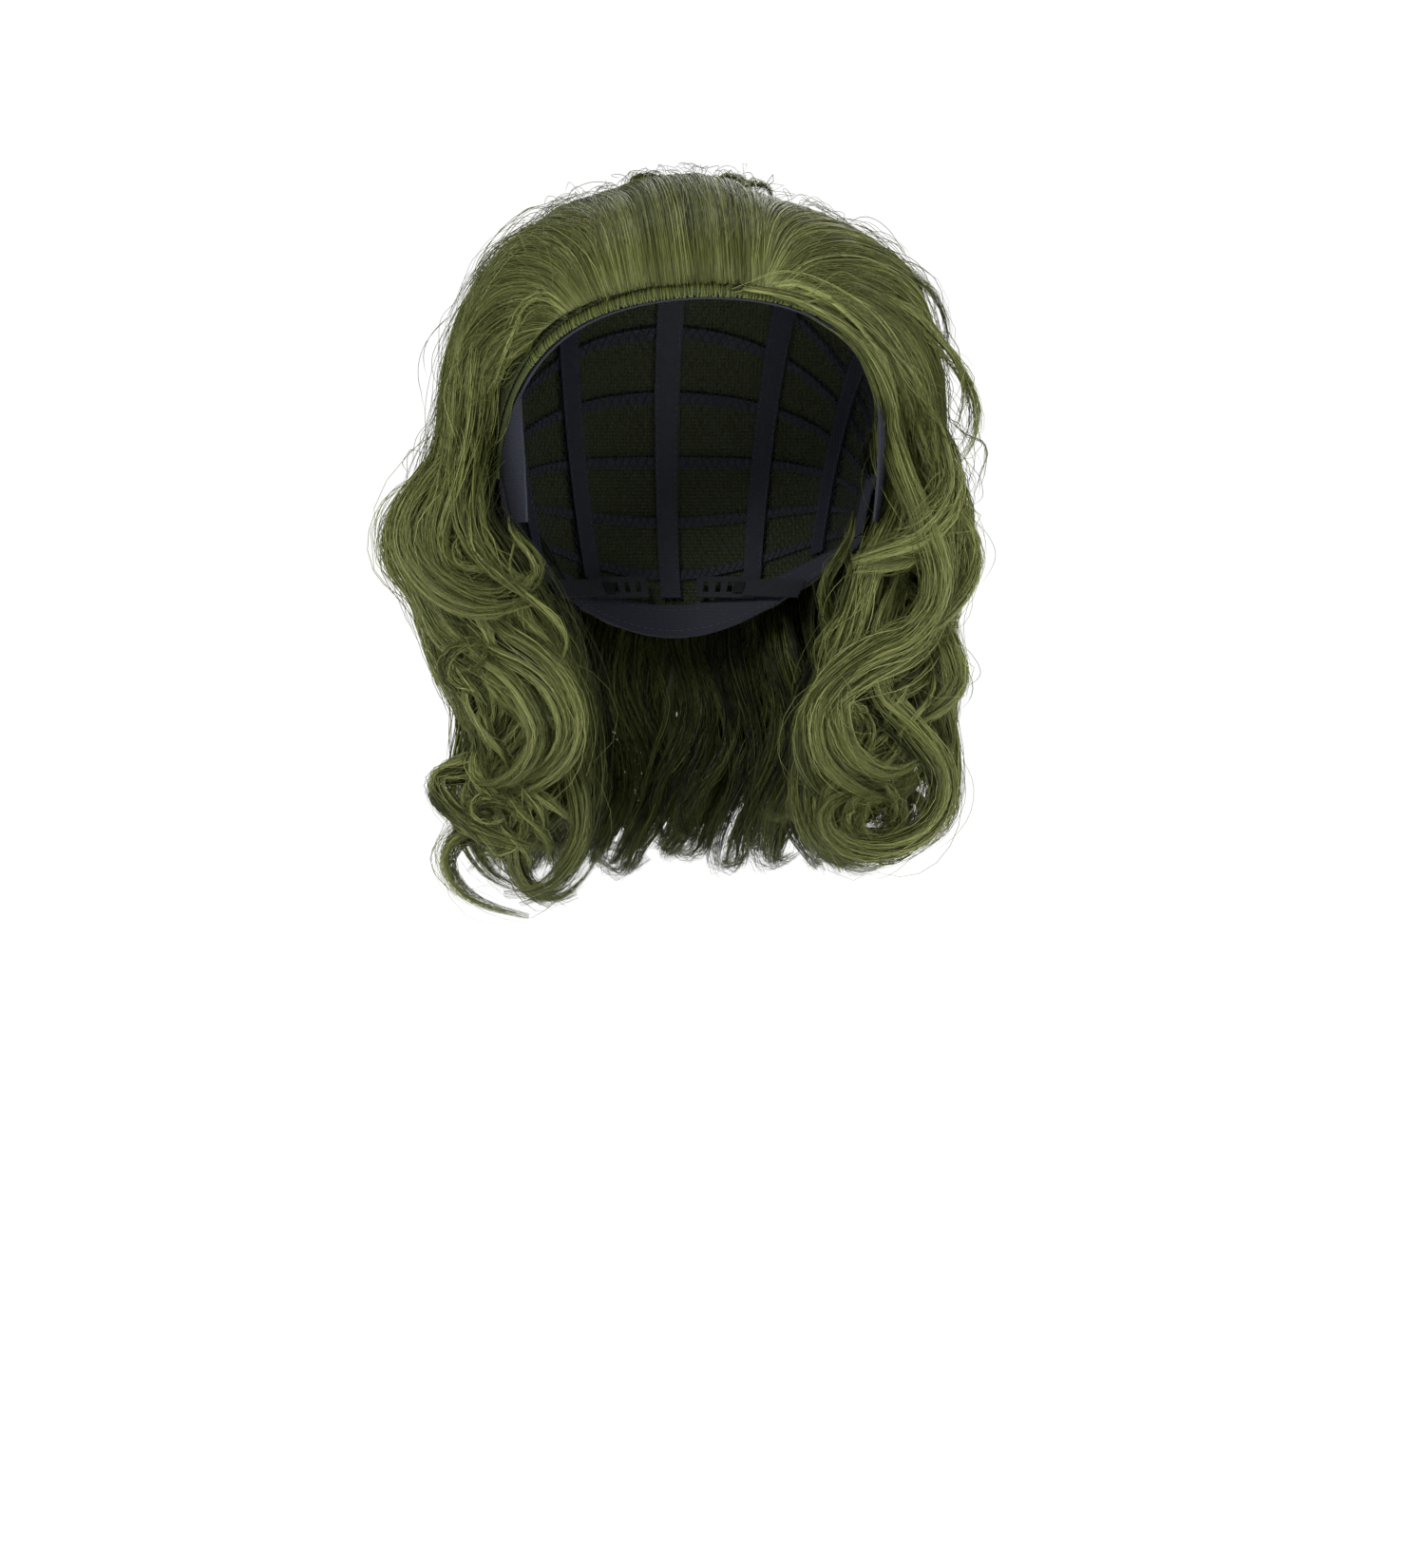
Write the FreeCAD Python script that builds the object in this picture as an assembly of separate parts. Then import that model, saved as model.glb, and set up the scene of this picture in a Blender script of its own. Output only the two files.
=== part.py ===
"""Costume wig: a stretch cap with sewn weft rows, swept-back top hair and hanging wavy locks.

Row frame, in millimetres: +Z up, the face looks towards -Y, +X is the wig's own left-hand side.
The origin is the inner top of the crown, where the wearer's head touches the cap.
The head is an ellipsoid. Cap pieces are patches at small offsets above it, laid out in cap
coordinates: "across" runs from -1 at one ear to +1 at the other, and "along" runs from 0 at
the front hairline over the crown to 1 at the nape.
"""
import FreeCAD, Part
import math
import os

os.makedirs("parts", exist_ok=True)
Vector = FreeCAD.Vector

# ---- driving dimensions ----
HEAD_HALF = (76.0, 97.0, 100.0)     # half width, half length and half height of the head
EAR_DROP = 28.0                     # the ear axis lies this far below the head's centre
EDGE_LATITUDE = 75.0                # degrees from the middle plane to the cap's edge at the ear
FRONT_ANGLE = 49.0                  # hairline at the middle of the forehead, about the ear axis
TEMPLE_RISE = 11.0                  # how much further back the hairline is at the temples
NAPE_ANGLE = 216.0                  # nape edge at the middle of the back
NAPE_LIFT = 11.0                    # how much higher the nape edge is behind the ears
HAIR_HALF_WIDTH = 103.0             # the hair's outside over the cap: half width,
HAIR_FRONT, HAIR_BACK = 104.0, 121.0    # reach forwards and backwards,
HAIR_HALF_HEIGHT = 111.0            # and half height
HAIR_POWER = 2.6                    # squareness of that outside; 2 would be an ellipsoid
HAIRLINE_RISE = 0.2                 # the hair is full from this far along

INNER_LAYER = (0.2, 1.1)            # ribbons and bindings, next to the head
NET_LAYER = (1.4, 2.0)
OUTER_LAYER = (2.3, 3.6)            # weft tracks and hairline band, on top of the net
HAIR_BASE = 4.2                     # the hair's underside

RIBBON_PLACES = (-0.62, -0.31, 0.0, 0.31, 0.62)
RIBBON_HALF_WIDTH = 0.036
WEFT_COUNT = 11
FIRST_WEFT, LAST_WEFT = 0.12, 0.955
WEFT_HALF_WIDTH = 0.0075

SIDE_HAIR_FOOT = -106.0             # top hair ends here beside the ears
BACK_HAIR_FOOT = -168.0             # and here behind the head
BACK_HAIR_START = 50.0              # the back begins at this y

CENTRE = Vector(0, 0, -HEAD_HALF[2])
EAR_POINT = CENTRE - Vector(0, 0, EAR_DROP)


# ---- the head and the cap coordinates ----
def reach(direction, half, power):
    """Distance from the ear axis to a rounded shape about the head's centre."""
    near, far = 0.0, 300.0
    for _ in range(48):
        middle = (near + far) / 2
        p = direction * middle - Vector(0, 0, EAR_DROP)
        inside = sum((abs(c) / h) ** power for c, h in zip(p, half)) < 1
        near, far = (middle, far) if inside else (near, middle)
    return near


def direction(latitude, angle):
    """Unit vector for a latitude towards +X and an angle about the ear axis, in degrees."""
    la, an = math.radians(latitude), math.radians(angle)
    return Vector(math.sin(la), -math.cos(la) * math.cos(an), math.cos(la) * math.sin(an))


def side_share(latitude):
    """0 at the middle plane, rising smoothly to 1 at 60 degrees of latitude and beyond."""
    return math.sin(math.radians(min(abs(latitude), 60.0) * 1.5)) ** 2


def cap_direction(across, along):
    latitude = across * EDGE_LATITUDE
    front = FRONT_ANGLE + TEMPLE_RISE * side_share(latitude)
    back = NAPE_ANGLE - NAPE_LIFT * side_share(latitude)
    return direction(latitude, front + (back - front) * along)


def above_head(way, offset):
    """The point at an offset above the head, seen from the ear axis."""
    half = [h + offset for h in HEAD_HALF]
    return EAR_POINT + way * reach(way, half, 2)


def cap_point(across, along, offset):
    return above_head(cap_direction(across, along), offset)


def smooth(x):
    x = max(0.0, min(1.0, x))
    return x * x * (3 - 2 * x)


def hair_point(across, along):
    """The hair's outside: thin at the hairline and nape edges, full elsewhere."""
    way = cap_direction(across, along)
    low = reach(way, [h + HAIR_BASE for h in HEAD_HALF], 2)
    length = HAIR_FRONT if way.y < 0 else HAIR_BACK
    full = reach(way, (HAIR_HALF_WIDTH, length, HAIR_HALF_HEIGHT), HAIR_POWER)
    rise = 0.16 + 0.84 * smooth(along / HAIRLINE_RISE)
    return EAR_POINT + way * (low + (full - low) * rise)


# ---- solids ----
def surface(rows):
    s = Part.BSplineSurface()
    s.interpolate(rows)
    return s


def slab(inner_rows, outer_rows):
    """A closed solid between two grids of points."""
    low, high = surface(inner_rows), surface(outer_rows)
    faces = [low.toShape(), high.toShape()]
    for edge_of in (
        lambda s: s.uIso(s.bounds()[0]),
        lambda s: s.uIso(s.bounds()[1]),
        lambda s: s.vIso(s.bounds()[2]),
        lambda s: s.vIso(s.bounds()[3]),
    ):
        faces.append(Part.makeRuledSurface(edge_of(low).toShape(), edge_of(high).toShape()))
    shell = Part.makeShell(faces)
    shell.sewShape()
    solid = Part.makeSolid(shell)
    if solid.Volume < 0:
        solid.reverse()
    return solid


def below(z, y_low, y_high):
    """A block under a height, for trimming."""
    return Part.makeBox(400, y_high - y_low, 300, Vector(-200, y_low, z - 300))


FOOT_CUTTER = below(SIDE_HAIR_FOOT, -200, BACK_HAIR_START).fuse(below(BACK_HAIR_FOOT, -200, 200))


def spread(low, high, count):
    return [low + (high - low) * i / (count - 1) for i in range(count)]


def cap_patch(across, along, layer, counts):
    """A piece of the cap between two offsets."""
    us, ts = spread(*across, counts[0]), spread(*along, counts[1])
    low, high = ([[cap_point(u, t, d) for t in ts] for u in us] for d in layer)
    return slab(low, high)


def hair_patch(across, along, counts=(9, 9)):
    """A lock of top hair between the cap and the hair's outside, cut off level at its foot."""
    us, ts = spread(*across, counts[0]), spread(*along, counts[1])
    low = [[cap_point(u, t, HAIR_BASE) for t in ts] for u in us]
    high = [[hair_point(u, t) for t in ts] for u in us]
    solid = slab(low, high)
    if solid.BoundBox.ZMin < SIDE_HAIR_FOOT:
        solid = solid.cut(FOOT_CUTTER).Solids[0]
    return solid


def ellipse_wire(x, y, z, half_x, half_y):
    wide, deep = Vector(half_x, 0, 0), Vector(0, half_y, 0)
    centre = Vector(x, y, z)
    if half_x >= half_y:
        curve = Part.Ellipse(centre + wide, centre + deep, centre)
    else:
        curve = Part.Ellipse(centre + deep, centre - wide, centre)
    return Part.Wire([curve.toShape()])


def lock(stations):
    """A hanging lock lofted through flat ellipses: (x, y, z, half width, half depth)."""
    return Part.makeLoft([ellipse_wire(*s) for s in stations], True, False)


def save(name, *solids):
    shape = solids[0] if len(solids) == 1 else Part.makeCompound(list(solids))
    for s in shape.Solids:
        if not s.isValid() or s.Volume <= 0:
            print("BAD SOLID", name, s.isValid(), s.Volume)
    shape.exportStep(f"parts/{name}.step")
    box = shape.BoundBox
    print(f"{name:24s} {shape.Volume / 1000:8.2f} cm3  z {box.ZMin:7.1f} to {box.ZMax:7.1f}")


SIDES = (("right", -1), ("left", 1))

# ---- cap: net, bands and ribbons ----
save("crown_net", cap_patch((-1, 1), (0.0, 1), NET_LAYER, (25, 25)))
save("hairline_band", cap_patch((-1, 1), (0.0, 0.035), OUTER_LAYER, (33, 4)))
save("forehead_comfort_band", cap_patch((-1, 1), (0.0, 0.06), INNER_LAYER, (33, 4)))
save("nape_band", cap_patch((-1, 1), (0.93, 1.0), INNER_LAYER, (33, 4)))
for side, sign in SIDES:
    save(f"ear_binding_{side}", cap_patch((sign * 0.91, sign), (0.075, 0.915), INNER_LAYER, (4, 25)))
for number, place in enumerate(RIBBON_PLACES, 1):
    edges = (place - RIBBON_HALF_WIDTH, place + RIBBON_HALF_WIDTH)
    save(f"cap_ribbon_{number}", cap_patch(edges, (0.075, 0.915), INNER_LAYER, (4, 25)))

# ---- weft tracks: sewn hair strips from ear to ear ----
for number, row in enumerate(spread(FIRST_WEFT, LAST_WEFT, WEFT_COUNT), 1):
    edges = (row - WEFT_HALF_WIDTH, row + WEFT_HALF_WIDTH)
    save(f"weft_track_{number:02d}", cap_patch((-0.97, 0.97), edges, OUTER_LAYER, (33, 4)))

# ---- ear tabs: net flaps in front of the ears, each with a bendable stay ----
TAB_TOP_GAP = 1.8           # degrees between the cap's edge and the tab
TAB_BOTTOM_ANGLE = 2.0
TAB_REAR_LATITUDE = 72.0
TAB_FRONT_LATITUDES = (49.0, 61.0)   # at its top and at its foot
TAB_LAYER = (1.4, 2.4)
STAY_LAYER = (0.4, 1.1)
STAY_HALF_WIDTH = 0.055     # share of the tab's width


def tab_point(sign, width_share, down_share, offset):
    front = TAB_FRONT_LATITUDES[0] + (TAB_FRONT_LATITUDES[1] - TAB_FRONT_LATITUDES[0]) * down_share
    latitude = front + (TAB_REAR_LATITUDE - front) * width_share
    top = FRONT_ANGLE + TEMPLE_RISE * side_share(latitude) - TAB_TOP_GAP
    angle = top + (TAB_BOTTOM_ANGLE - top) * down_share
    return above_head(direction(sign * latitude, angle), offset)


def tab_patch(sign, width, down, layer, counts):
    ws, ds = spread(*width, counts[0]), spread(*down, counts[1])
    low, high = ([[tab_point(sign, w, d, o) for d in ds] for w in ws] for o in layer)
    return slab(low, high)


for side, sign in SIDES:
    save(f"ear_tab_{side}", tab_patch(sign, (0, 1), (0, 1), TAB_LAYER, (7, 9)))
    stay_edges = (0.5 - STAY_HALF_WIDTH, 0.5 + STAY_HALF_WIDTH)
    save(f"ear_tab_stay_{side}", tab_patch(sign, stay_edges, (0.1, 0.88), STAY_LAYER, (4, 9)))
    top_front, top_rear = (tab_point(sign, w, 0, TAB_LAYER[0]) for w in (0, 1))
    print("ear tab hinge", side, top_front, top_rear)

# ---- nape adjusters: a hooked elastic strap that slides along a looped tape, both sides ----
NAPE_AXIS_Y = 18.0          # the vertical line that straps and tapes curve about
NAPE_Z = CENTRE.z - 55.0
NAPE_TILT = 34.0            # the nape's lean from the vertical, in degrees
TAPE_RADIUS, STRAP_RADIUS = 57.6, 56.2
STRAP_HEIGHT, TAPE_HEIGHT, BAND_THICKNESS = 8.0, 10.0, 0.8
TAPE_ARC = (10.0, 36.0)     # degrees from the middle of the back
STRAP_ARC = (31.0, 62.0)
HOOK_ARC = (26.0, 30.6)
LOOP_SLOT = (2.2, 5.0)      # slot width along the tape and height
LOOP_ANGLES = (14.0, 19.0, 24.0, 29.0)


def nape_arc(sign, radius, height, thickness, arc):
    """A leaning strip of the given height, swept about the nape's vertical axis."""
    tilt = math.radians(NAPE_TILT)
    down = Vector(0, -math.sin(tilt), -math.cos(tilt))
    out = Vector(0, math.cos(tilt), -math.sin(tilt))
    middle = Vector(0, NAPE_AXIS_Y + radius, NAPE_Z)
    corners = [
        middle + down * (height / 2 * a) + out * (thickness / 2 * b)
        for a, b in ((-1, -1), (1, -1), (1, 1), (-1, 1), (-1, -1))
    ]
    face = Part.Face(Part.makePolygon(corners))
    axis_point, up = Vector(0, NAPE_AXIS_Y, 0), Vector(0, 0, 1)
    # Turning about +Z takes +Y towards -X, so the left side turns the other way.
    face.rotate(axis_point, up, -sign * arc[0])
    solid = face.revolve(axis_point, up, -sign * (arc[1] - arc[0]))
    if solid.Volume < 0:
        solid.reverse()
    return solid


def loop_slot(sign, angle):
    """A cutter for one loop of the tape."""
    width, height = LOOP_SLOT
    cutter = Part.makeBox(width, 8, height, Vector(-width / 2, -4, -height / 2))
    cutter.rotate(Vector(0, 0, 0), Vector(1, 0, 0), -NAPE_TILT)
    cutter.translate(Vector(0, NAPE_AXIS_Y + TAPE_RADIUS, NAPE_Z))
    cutter.rotate(Vector(0, NAPE_AXIS_Y, 0), Vector(0, 0, 1), -sign * angle)
    return cutter


for side, sign in SIDES:
    tape = nape_arc(sign, TAPE_RADIUS, TAPE_HEIGHT, BAND_THICKNESS, TAPE_ARC)
    for angle in LOOP_ANGLES:
        tape = tape.cut(loop_slot(sign, angle))
    save(f"loop_tape_{side}", tape.Solids[0])
    save(f"adjuster_strap_{side}", nape_arc(sign, STRAP_RADIUS, STRAP_HEIGHT, BAND_THICKNESS, STRAP_ARC))
    save(f"adjuster_hook_{side}", nape_arc(sign, STRAP_RADIUS, LOOP_SLOT[1], BAND_THICKNESS * 0.75, HOOK_ARC))

# ---- top hair: locks swept back from the hairline, held by the cap ----
COLUMNS = (("right", -0.985, -0.345), ("centre", -0.335, 0.335), ("left", 0.345, 0.985))
ROWS = (("front", 0.0, 0.325), ("crown", 0.335, 0.645), ("back", 0.655, 0.985))
for row, start, stop in ROWS:
    for column, low, high in COLUMNS:
        save(f"{row}_hair_{column}", hair_patch((low, high), (start, stop)))

# ---- hanging locks ----
# Each side: height, and the inner and outer edge of its hair. The waves bulge and nip in.
RIGHT_EDGES = (
    (-112, 80, 92), (-120, 79, 108), (-136, 77, 123), (-152, 72, 118), (-164, 64, 109),
    (-180, 55, 113), (-200, 46, 104), (-215, 40, 94), (-230, 39, 104), (-246, 40, 97),
    (-262, 41, 98), (-276, 48, 90), (-284, 57, 74),
)
LEFT_EDGES = (
    (-112, 80, 92), (-120, 79, 106), (-138, 77, 120), (-152, 72, 116), (-166, 65, 108),
    (-186, 54, 112), (-204, 46, 107), (-224, 44, 108), (-242, 46, 104), (-256, 52, 92),
    (-263, 62, 80),
)
SIDE_LOCKS = (("front", -46, -17), ("middle", -16, 14), ("rear", 15, 46))
for side, sign, edges in (("right", -1, RIGHT_EDGES), ("left", 1, LEFT_EDGES)):
    for place, near, far in SIDE_LOCKS:
        stations = [
            (sign * (a + b) / 2, (near + far) / 2, z, (b - a) / 2, (far - near) / 2)
            for z, a, b in edges
        ]
        save(f"{side}_lock_{place}", lock(stations))

# The back: height, and the inner and outer edge of its hair behind the neck.
BACK_EDGES = (
    (-175, 80, 90), (-184, 78, 108), (-200, 72, 118), (-216, 66, 112), (-232, 64, 117),
    (-248, 62, 110), (-264, 64, 106), (-276, 72, 96),
)
BACK_LOCKS = (("outer_right", -74, -46), ("inner_right", -45, -16), ("centre", -15, 15),
              ("inner_left", 16, 45), ("outer_left", 46, 74))
for place, low, high in BACK_LOCKS:
    middle = (low + high) / 2
    curve_in = middle * middle / 300.0       # the back of the hair is rounded in plan
    stations = [
        (middle, (a + b) / 2 - curve_in, z, (high - low) / 2, (b - a) / 2)
        for z, a, b in BACK_EDGES
    ]
    save(f"back_lock_{place}", lock(stations))
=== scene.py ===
"""The looks of the costume wig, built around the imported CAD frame.

Shapes are worked out in millimetres in the row frame (+Z up, the face looks towards -Y, +X is the
wig's own left) and turned into metres where meshes are made. "Right" and "left" are the wig's own.
"""
import math

import bmesh
import bpy
import numpy as np
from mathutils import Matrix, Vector


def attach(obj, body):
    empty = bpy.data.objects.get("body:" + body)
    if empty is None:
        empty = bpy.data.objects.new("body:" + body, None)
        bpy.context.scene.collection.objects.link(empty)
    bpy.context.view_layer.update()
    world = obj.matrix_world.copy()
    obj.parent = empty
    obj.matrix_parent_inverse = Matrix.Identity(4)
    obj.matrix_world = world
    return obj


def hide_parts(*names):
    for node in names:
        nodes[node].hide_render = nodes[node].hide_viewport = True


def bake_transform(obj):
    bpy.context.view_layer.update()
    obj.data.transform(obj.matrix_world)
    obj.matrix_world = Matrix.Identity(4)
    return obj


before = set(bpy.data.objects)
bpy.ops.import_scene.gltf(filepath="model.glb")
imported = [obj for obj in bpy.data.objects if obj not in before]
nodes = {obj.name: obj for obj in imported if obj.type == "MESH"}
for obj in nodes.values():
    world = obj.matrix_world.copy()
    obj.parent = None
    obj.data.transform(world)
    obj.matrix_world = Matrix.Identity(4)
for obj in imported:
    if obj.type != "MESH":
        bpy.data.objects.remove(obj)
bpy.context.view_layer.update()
random = np.random.default_rng(20)
MM = 0.001

# ---------------------------------------------------------------- the head and the cap, as in the CAD
HEAD_HALF = np.array([76.0, 97.0, 100.0])
EAR_DROP = 28.0
CENTRE = np.array([0.0, 0.0, -100.0])
EAR_POINT = CENTRE - np.array([0.0, 0.0, EAR_DROP])
EDGE_LATITUDE = 75.0
FRONT_ANGLE, TEMPLE_RISE = 49.0, 11.0
NAPE_ANGLE, NAPE_LIFT = 216.0, 11.0
HAIR_BASE = 4.2
HAIR_HALF_WIDTH, HAIR_FRONT, HAIR_BACK, HAIR_HALF_HEIGHT = 103.0, 104.0, 121.0, 111.0
HAIR_POWER = 2.6
RIGHT_SLOPE, LEFT_SLOPE = 6.5, 7.0      # how far the crown lies inside that outline, above each ear
FARTHEST, SEARCH_STEPS = 300.0, 40


def unit(v):
    return v / np.maximum(np.linalg.norm(v, axis=-1, keepdims=True), 1e-9)


def smooth(x):
    x = np.clip(x, 0.0, 1.0)
    return x * x * (3 - 2 * x)


def cap_direction(across, along):
    """Unit vectors for cap coordinates: across -1..1 from ear to ear, along 0..1 from hairline to nape."""
    latitude = np.asarray(across, float) * EDGE_LATITUDE
    share = np.sin(np.radians(np.minimum(np.abs(latitude), 60.0) * 1.5)) ** 2
    front = FRONT_ANGLE + TEMPLE_RISE * share
    back = NAPE_ANGLE - NAPE_LIFT * share
    la, an = np.radians(latitude), np.radians(front + (back - front) * np.asarray(along, float))
    return np.stack([np.sin(la), -np.cos(la) * np.cos(an), np.cos(la) * np.sin(an)], -1)


def head_reach(way, offset):
    """How far from the ear point a ray leaves the head, grown by an offset."""
    half = HEAD_HALF + np.asarray(offset, float)[..., None]
    a = (way**2 / half**2).sum(-1)
    b = -2 * EAR_DROP * way[..., 2] / half[..., 2] ** 2
    c = EAR_DROP**2 / half[..., 2] ** 2 - 1
    return (-b + np.sqrt(b * b - 4 * a * c)) / (2 * a)


def slope(points):
    """How far the hair lies inside its outline: the crown slopes more than a plain dome."""
    x, y, z = (points - CENTRE)[..., 0], points[..., 1], (points - CENTRE)[..., 2]
    lean = np.degrees(np.arctan2(x, z))         # 0 at the top, 90 at the wig's left ear, -90 at its right ear
    right = RIGHT_SLOPE * smooth((-lean - 4) / 16) * (1 - smooth((-lean - 70) / 40))
    left = LEFT_SLOPE * smooth((lean - 4) / 12) * (1 - smooth((lean - 34) / 16))
    upper_part = smooth((np.hypot(x, z) - 35) / 40)
    near_the_ears = smooth((y + 70) / 40) * smooth((70 - y) / 50)
    return (right + left) * upper_part * near_the_ears


def hair_reach(way):
    """How far from the ear point a ray leaves the hair's full outline."""
    near, far = np.zeros(way.shape[:-1]), np.full(way.shape[:-1], FARTHEST)
    length = np.where(way[..., 1] < 0, HAIR_FRONT, HAIR_BACK)
    for _ in range(SEARCH_STEPS):
        middle = (near + far) / 2
        p = way * middle[..., None] + (EAR_POINT - CENTRE)
        size = (
            np.abs(p[..., 0] / HAIR_HALF_WIDTH) ** HAIR_POWER
            + np.abs(p[..., 1] / length) ** HAIR_POWER
            + np.abs(p[..., 2] / HAIR_HALF_HEIGHT) ** HAIR_POWER
        )
        near, far = np.where(size < 1, middle, near), np.where(size < 1, far, middle)
    return near - slope(EAR_POINT + way * near[..., None])


def cap_point(across, along, offset):
    """A point at cap coordinates, an offset outside the head."""
    way = cap_direction(across, along)
    return EAR_POINT + way * head_reach(way, np.broadcast_to(offset, way.shape[:-1]))[..., None]


def on_hair(point, lift):
    """A point moved along its ray from the ear point to a share of the way from the cap to the outline."""
    way = unit(point - EAR_POINT)
    low = head_reach(way, np.full(way.shape[:-1], HAIR_BASE))
    full = hair_reach(way)
    return EAR_POINT + way * (low + (full - low) * lift)[..., None]


# ---------------------------------------------------------------- meshes
def link(obj):
    bpy.context.scene.collection.objects.link(obj)
    return obj


def new_object(name, points, faces, materials, indices=None):
    """An object from points in mm and an array of faces with equal corner counts, or several such arrays."""
    blocks = [np.asarray(f, np.int64) for f in (faces if isinstance(faces, list) else [faces])]
    corners = np.concatenate([b.ravel() for b in blocks])
    totals = np.concatenate([np.full(len(b), b.shape[1]) for b in blocks])
    starts = np.concatenate([[0], np.cumsum(totals)[:-1]])
    mesh = bpy.data.meshes.new(name)
    mesh.vertices.add(len(points))
    mesh.vertices.foreach_set("co", (np.asarray(points) * MM).astype(np.float32).ravel())
    mesh.loops.add(len(corners))
    mesh.loops.foreach_set("vertex_index", corners.astype(np.int32))
    mesh.polygons.add(len(totals))
    mesh.polygons.foreach_set("loop_start", starts.astype(np.int32))
    for material in materials:
        mesh.materials.append(material)
    if indices is not None:
        mesh.polygons.foreach_set("material_index", np.asarray(indices, np.int32))
    mesh.polygons.foreach_set("use_smooth", np.full(len(totals), True))
    mesh.update(calc_edges=True)
    mesh.validate()
    return link(bpy.data.objects.new(name, mesh))


def tubes(paths, radius, sides=3):
    """Closed tubes along paths (strands, stations, 3) with radii (strands, stations): points and faces."""
    count, stations, _ = paths.shape
    along = unit(np.gradient(paths, axis=1))
    normal = np.empty_like(paths)
    start = unit(random.normal(size=(count, 3)))
    for i in range(stations):
        start = unit(start - (start * along[:, i]).sum(-1, keepdims=True) * along[:, i])
        normal[:, i] = start
    side = np.cross(along, normal)
    turn = 2 * np.pi * np.arange(sides) / sides
    ring = normal[:, :, None] * np.cos(turn)[:, None] + side[:, :, None] * np.sin(turn)[:, None]
    points = paths[:, :, None] + ring * radius[:, :, None, None]
    index = np.arange(count * stations * sides).reshape(count, stations, sides)
    ahead = np.roll(index, -1, axis=2)
    walls = np.stack([index[:, :-1], ahead[:, :-1], ahead[:, 1:], index[:, 1:]], -1).reshape(-1, 4)
    caps = np.concatenate([index[:, 0, ::-1], index[:, -1]])
    return points.reshape(-1, 3), walls, caps


def grid_faces(rows, columns, wrap=False):
    """The four-cornered faces of a grid of points, closed into a tube when it wraps."""
    index = np.arange(rows * columns).reshape(rows, columns)
    if wrap:
        index = np.concatenate([index, index[:, :1]], 1)
    return np.stack([index[:-1, :-1], index[:-1, 1:], index[1:, 1:], index[1:, :-1]], -1).reshape(-1, 4)


# ---------------------------------------------------------------- curves
SAMPLES = 96            # on every guide curve


def curve(points, count=SAMPLES):
    """A smooth curve through given points, as evenly spaced samples."""
    p = np.asarray(points, float)
    ends = np.concatenate([[2 * p[0] - p[1]], p, [2 * p[-1] - p[-2]]])
    t = np.linspace(0, 1, 12, endpoint=False)[:, None]
    parts = []
    for a, b, c, d in zip(ends, ends[1:], ends[2:], ends[3:]):
        parts.append(0.5 * (2 * b + (c - a) * t + (2 * a - 5 * b + 4 * c - d) * t**2
                            + (3 * b - a - 3 * c + d) * t**3))
    line = np.concatenate(parts + [p[-1:]])
    run = np.concatenate([[0], np.cumsum(np.linalg.norm(np.diff(line[:, :3], axis=0), axis=1))])
    where = np.linspace(0, run[-1], count)
    return np.stack([np.interp(where, run, line[:, k]) for k in range(line.shape[1])], -1)


def profile(values, share):
    """Values spread evenly from 0 to 1, read at each share, eased between them."""
    values = np.asarray(values, float)
    at = np.clip(share, 0, 1) * (len(values) - 1)
    low = np.minimum(at.astype(int), len(values) - 2)
    return values[low] + (values[low + 1] - values[low]) * smooth(at - low)


def read(table, share):
    """Rows of a table (samples, ...) read at shares 0..1 of any shape."""
    at = np.clip(share, 0, 1) * (len(table) - 1)
    low = np.minimum(at.astype(int), len(table) - 2)
    part = (at - low).reshape(at.shape + (1,) * (table.ndim - 1))
    return table[low] * (1 - part) + table[low + 1] * part


# ---------------------------------------------------------------- hair materials
def principled(name, colour, roughness, **values):
    material = bpy.data.materials.new(name)
    material.use_nodes = True
    shader = material.node_tree.nodes["Principled BSDF"]
    shader.inputs["Base Color"].default_value = (*colour, 1)
    shader.inputs["Roughness"].default_value = roughness
    for key, value in values.items():
        shader.inputs[key.replace("_", " ")].default_value = value
    return material, shader


TONE_COUNT = 10
DARKEST, MIDDLE, LIGHTEST = (0.0045, 0.0055, 0.003), (0.060, 0.070, 0.0135), (0.225, 0.242, 0.078)
HAIR_ROUGHNESS = 0.42
LEAST_SHINE, SHINE_STEP = 0.12, 0.022       # lighter strands shine a little more


def tone_colour(share):
    """From the shaded depth of the hair, through its own green, to its sunlit streaks."""
    low, high, part = (DARKEST, MIDDLE, share * 2) if share < 0.5 else (MIDDLE, LIGHTEST, share * 2 - 1)
    return [a + (b - a) * part for a, b in zip(low, high)]


hair_tones = [
    principled(f"hair_tone_{i}", tone_colour(i / (TONE_COUNT - 1)), HAIR_ROUGHNESS,
               Specular_IOR_Level=LEAST_SHINE + SHINE_STEP * i)[0]
    for i in range(TONE_COUNT)
]

# ---------------------------------------------------------------- strands
MOST_TRIANGLES = 185000         # in one mesh
STRAND_RADIUS, STRAND_SIDES = 0.18, 3
# The cores take a dark tone: painted shade of the hair packed inside each lock.
CORE_STATIONS, CORE_SIDES, CORE_SHADE_TONE = 40, 14, 0.10
CORE_WIDTH, CORE_DEPTH = 0.40, 0.36         # shares of its lock's half width and half depth
SHEET_CLUMP, SHEET_STRAY, SHEET_STREAK = 16, 0.02, 0.08     # strands in a clump, share that stray, streaks
pieces = {}


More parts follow.
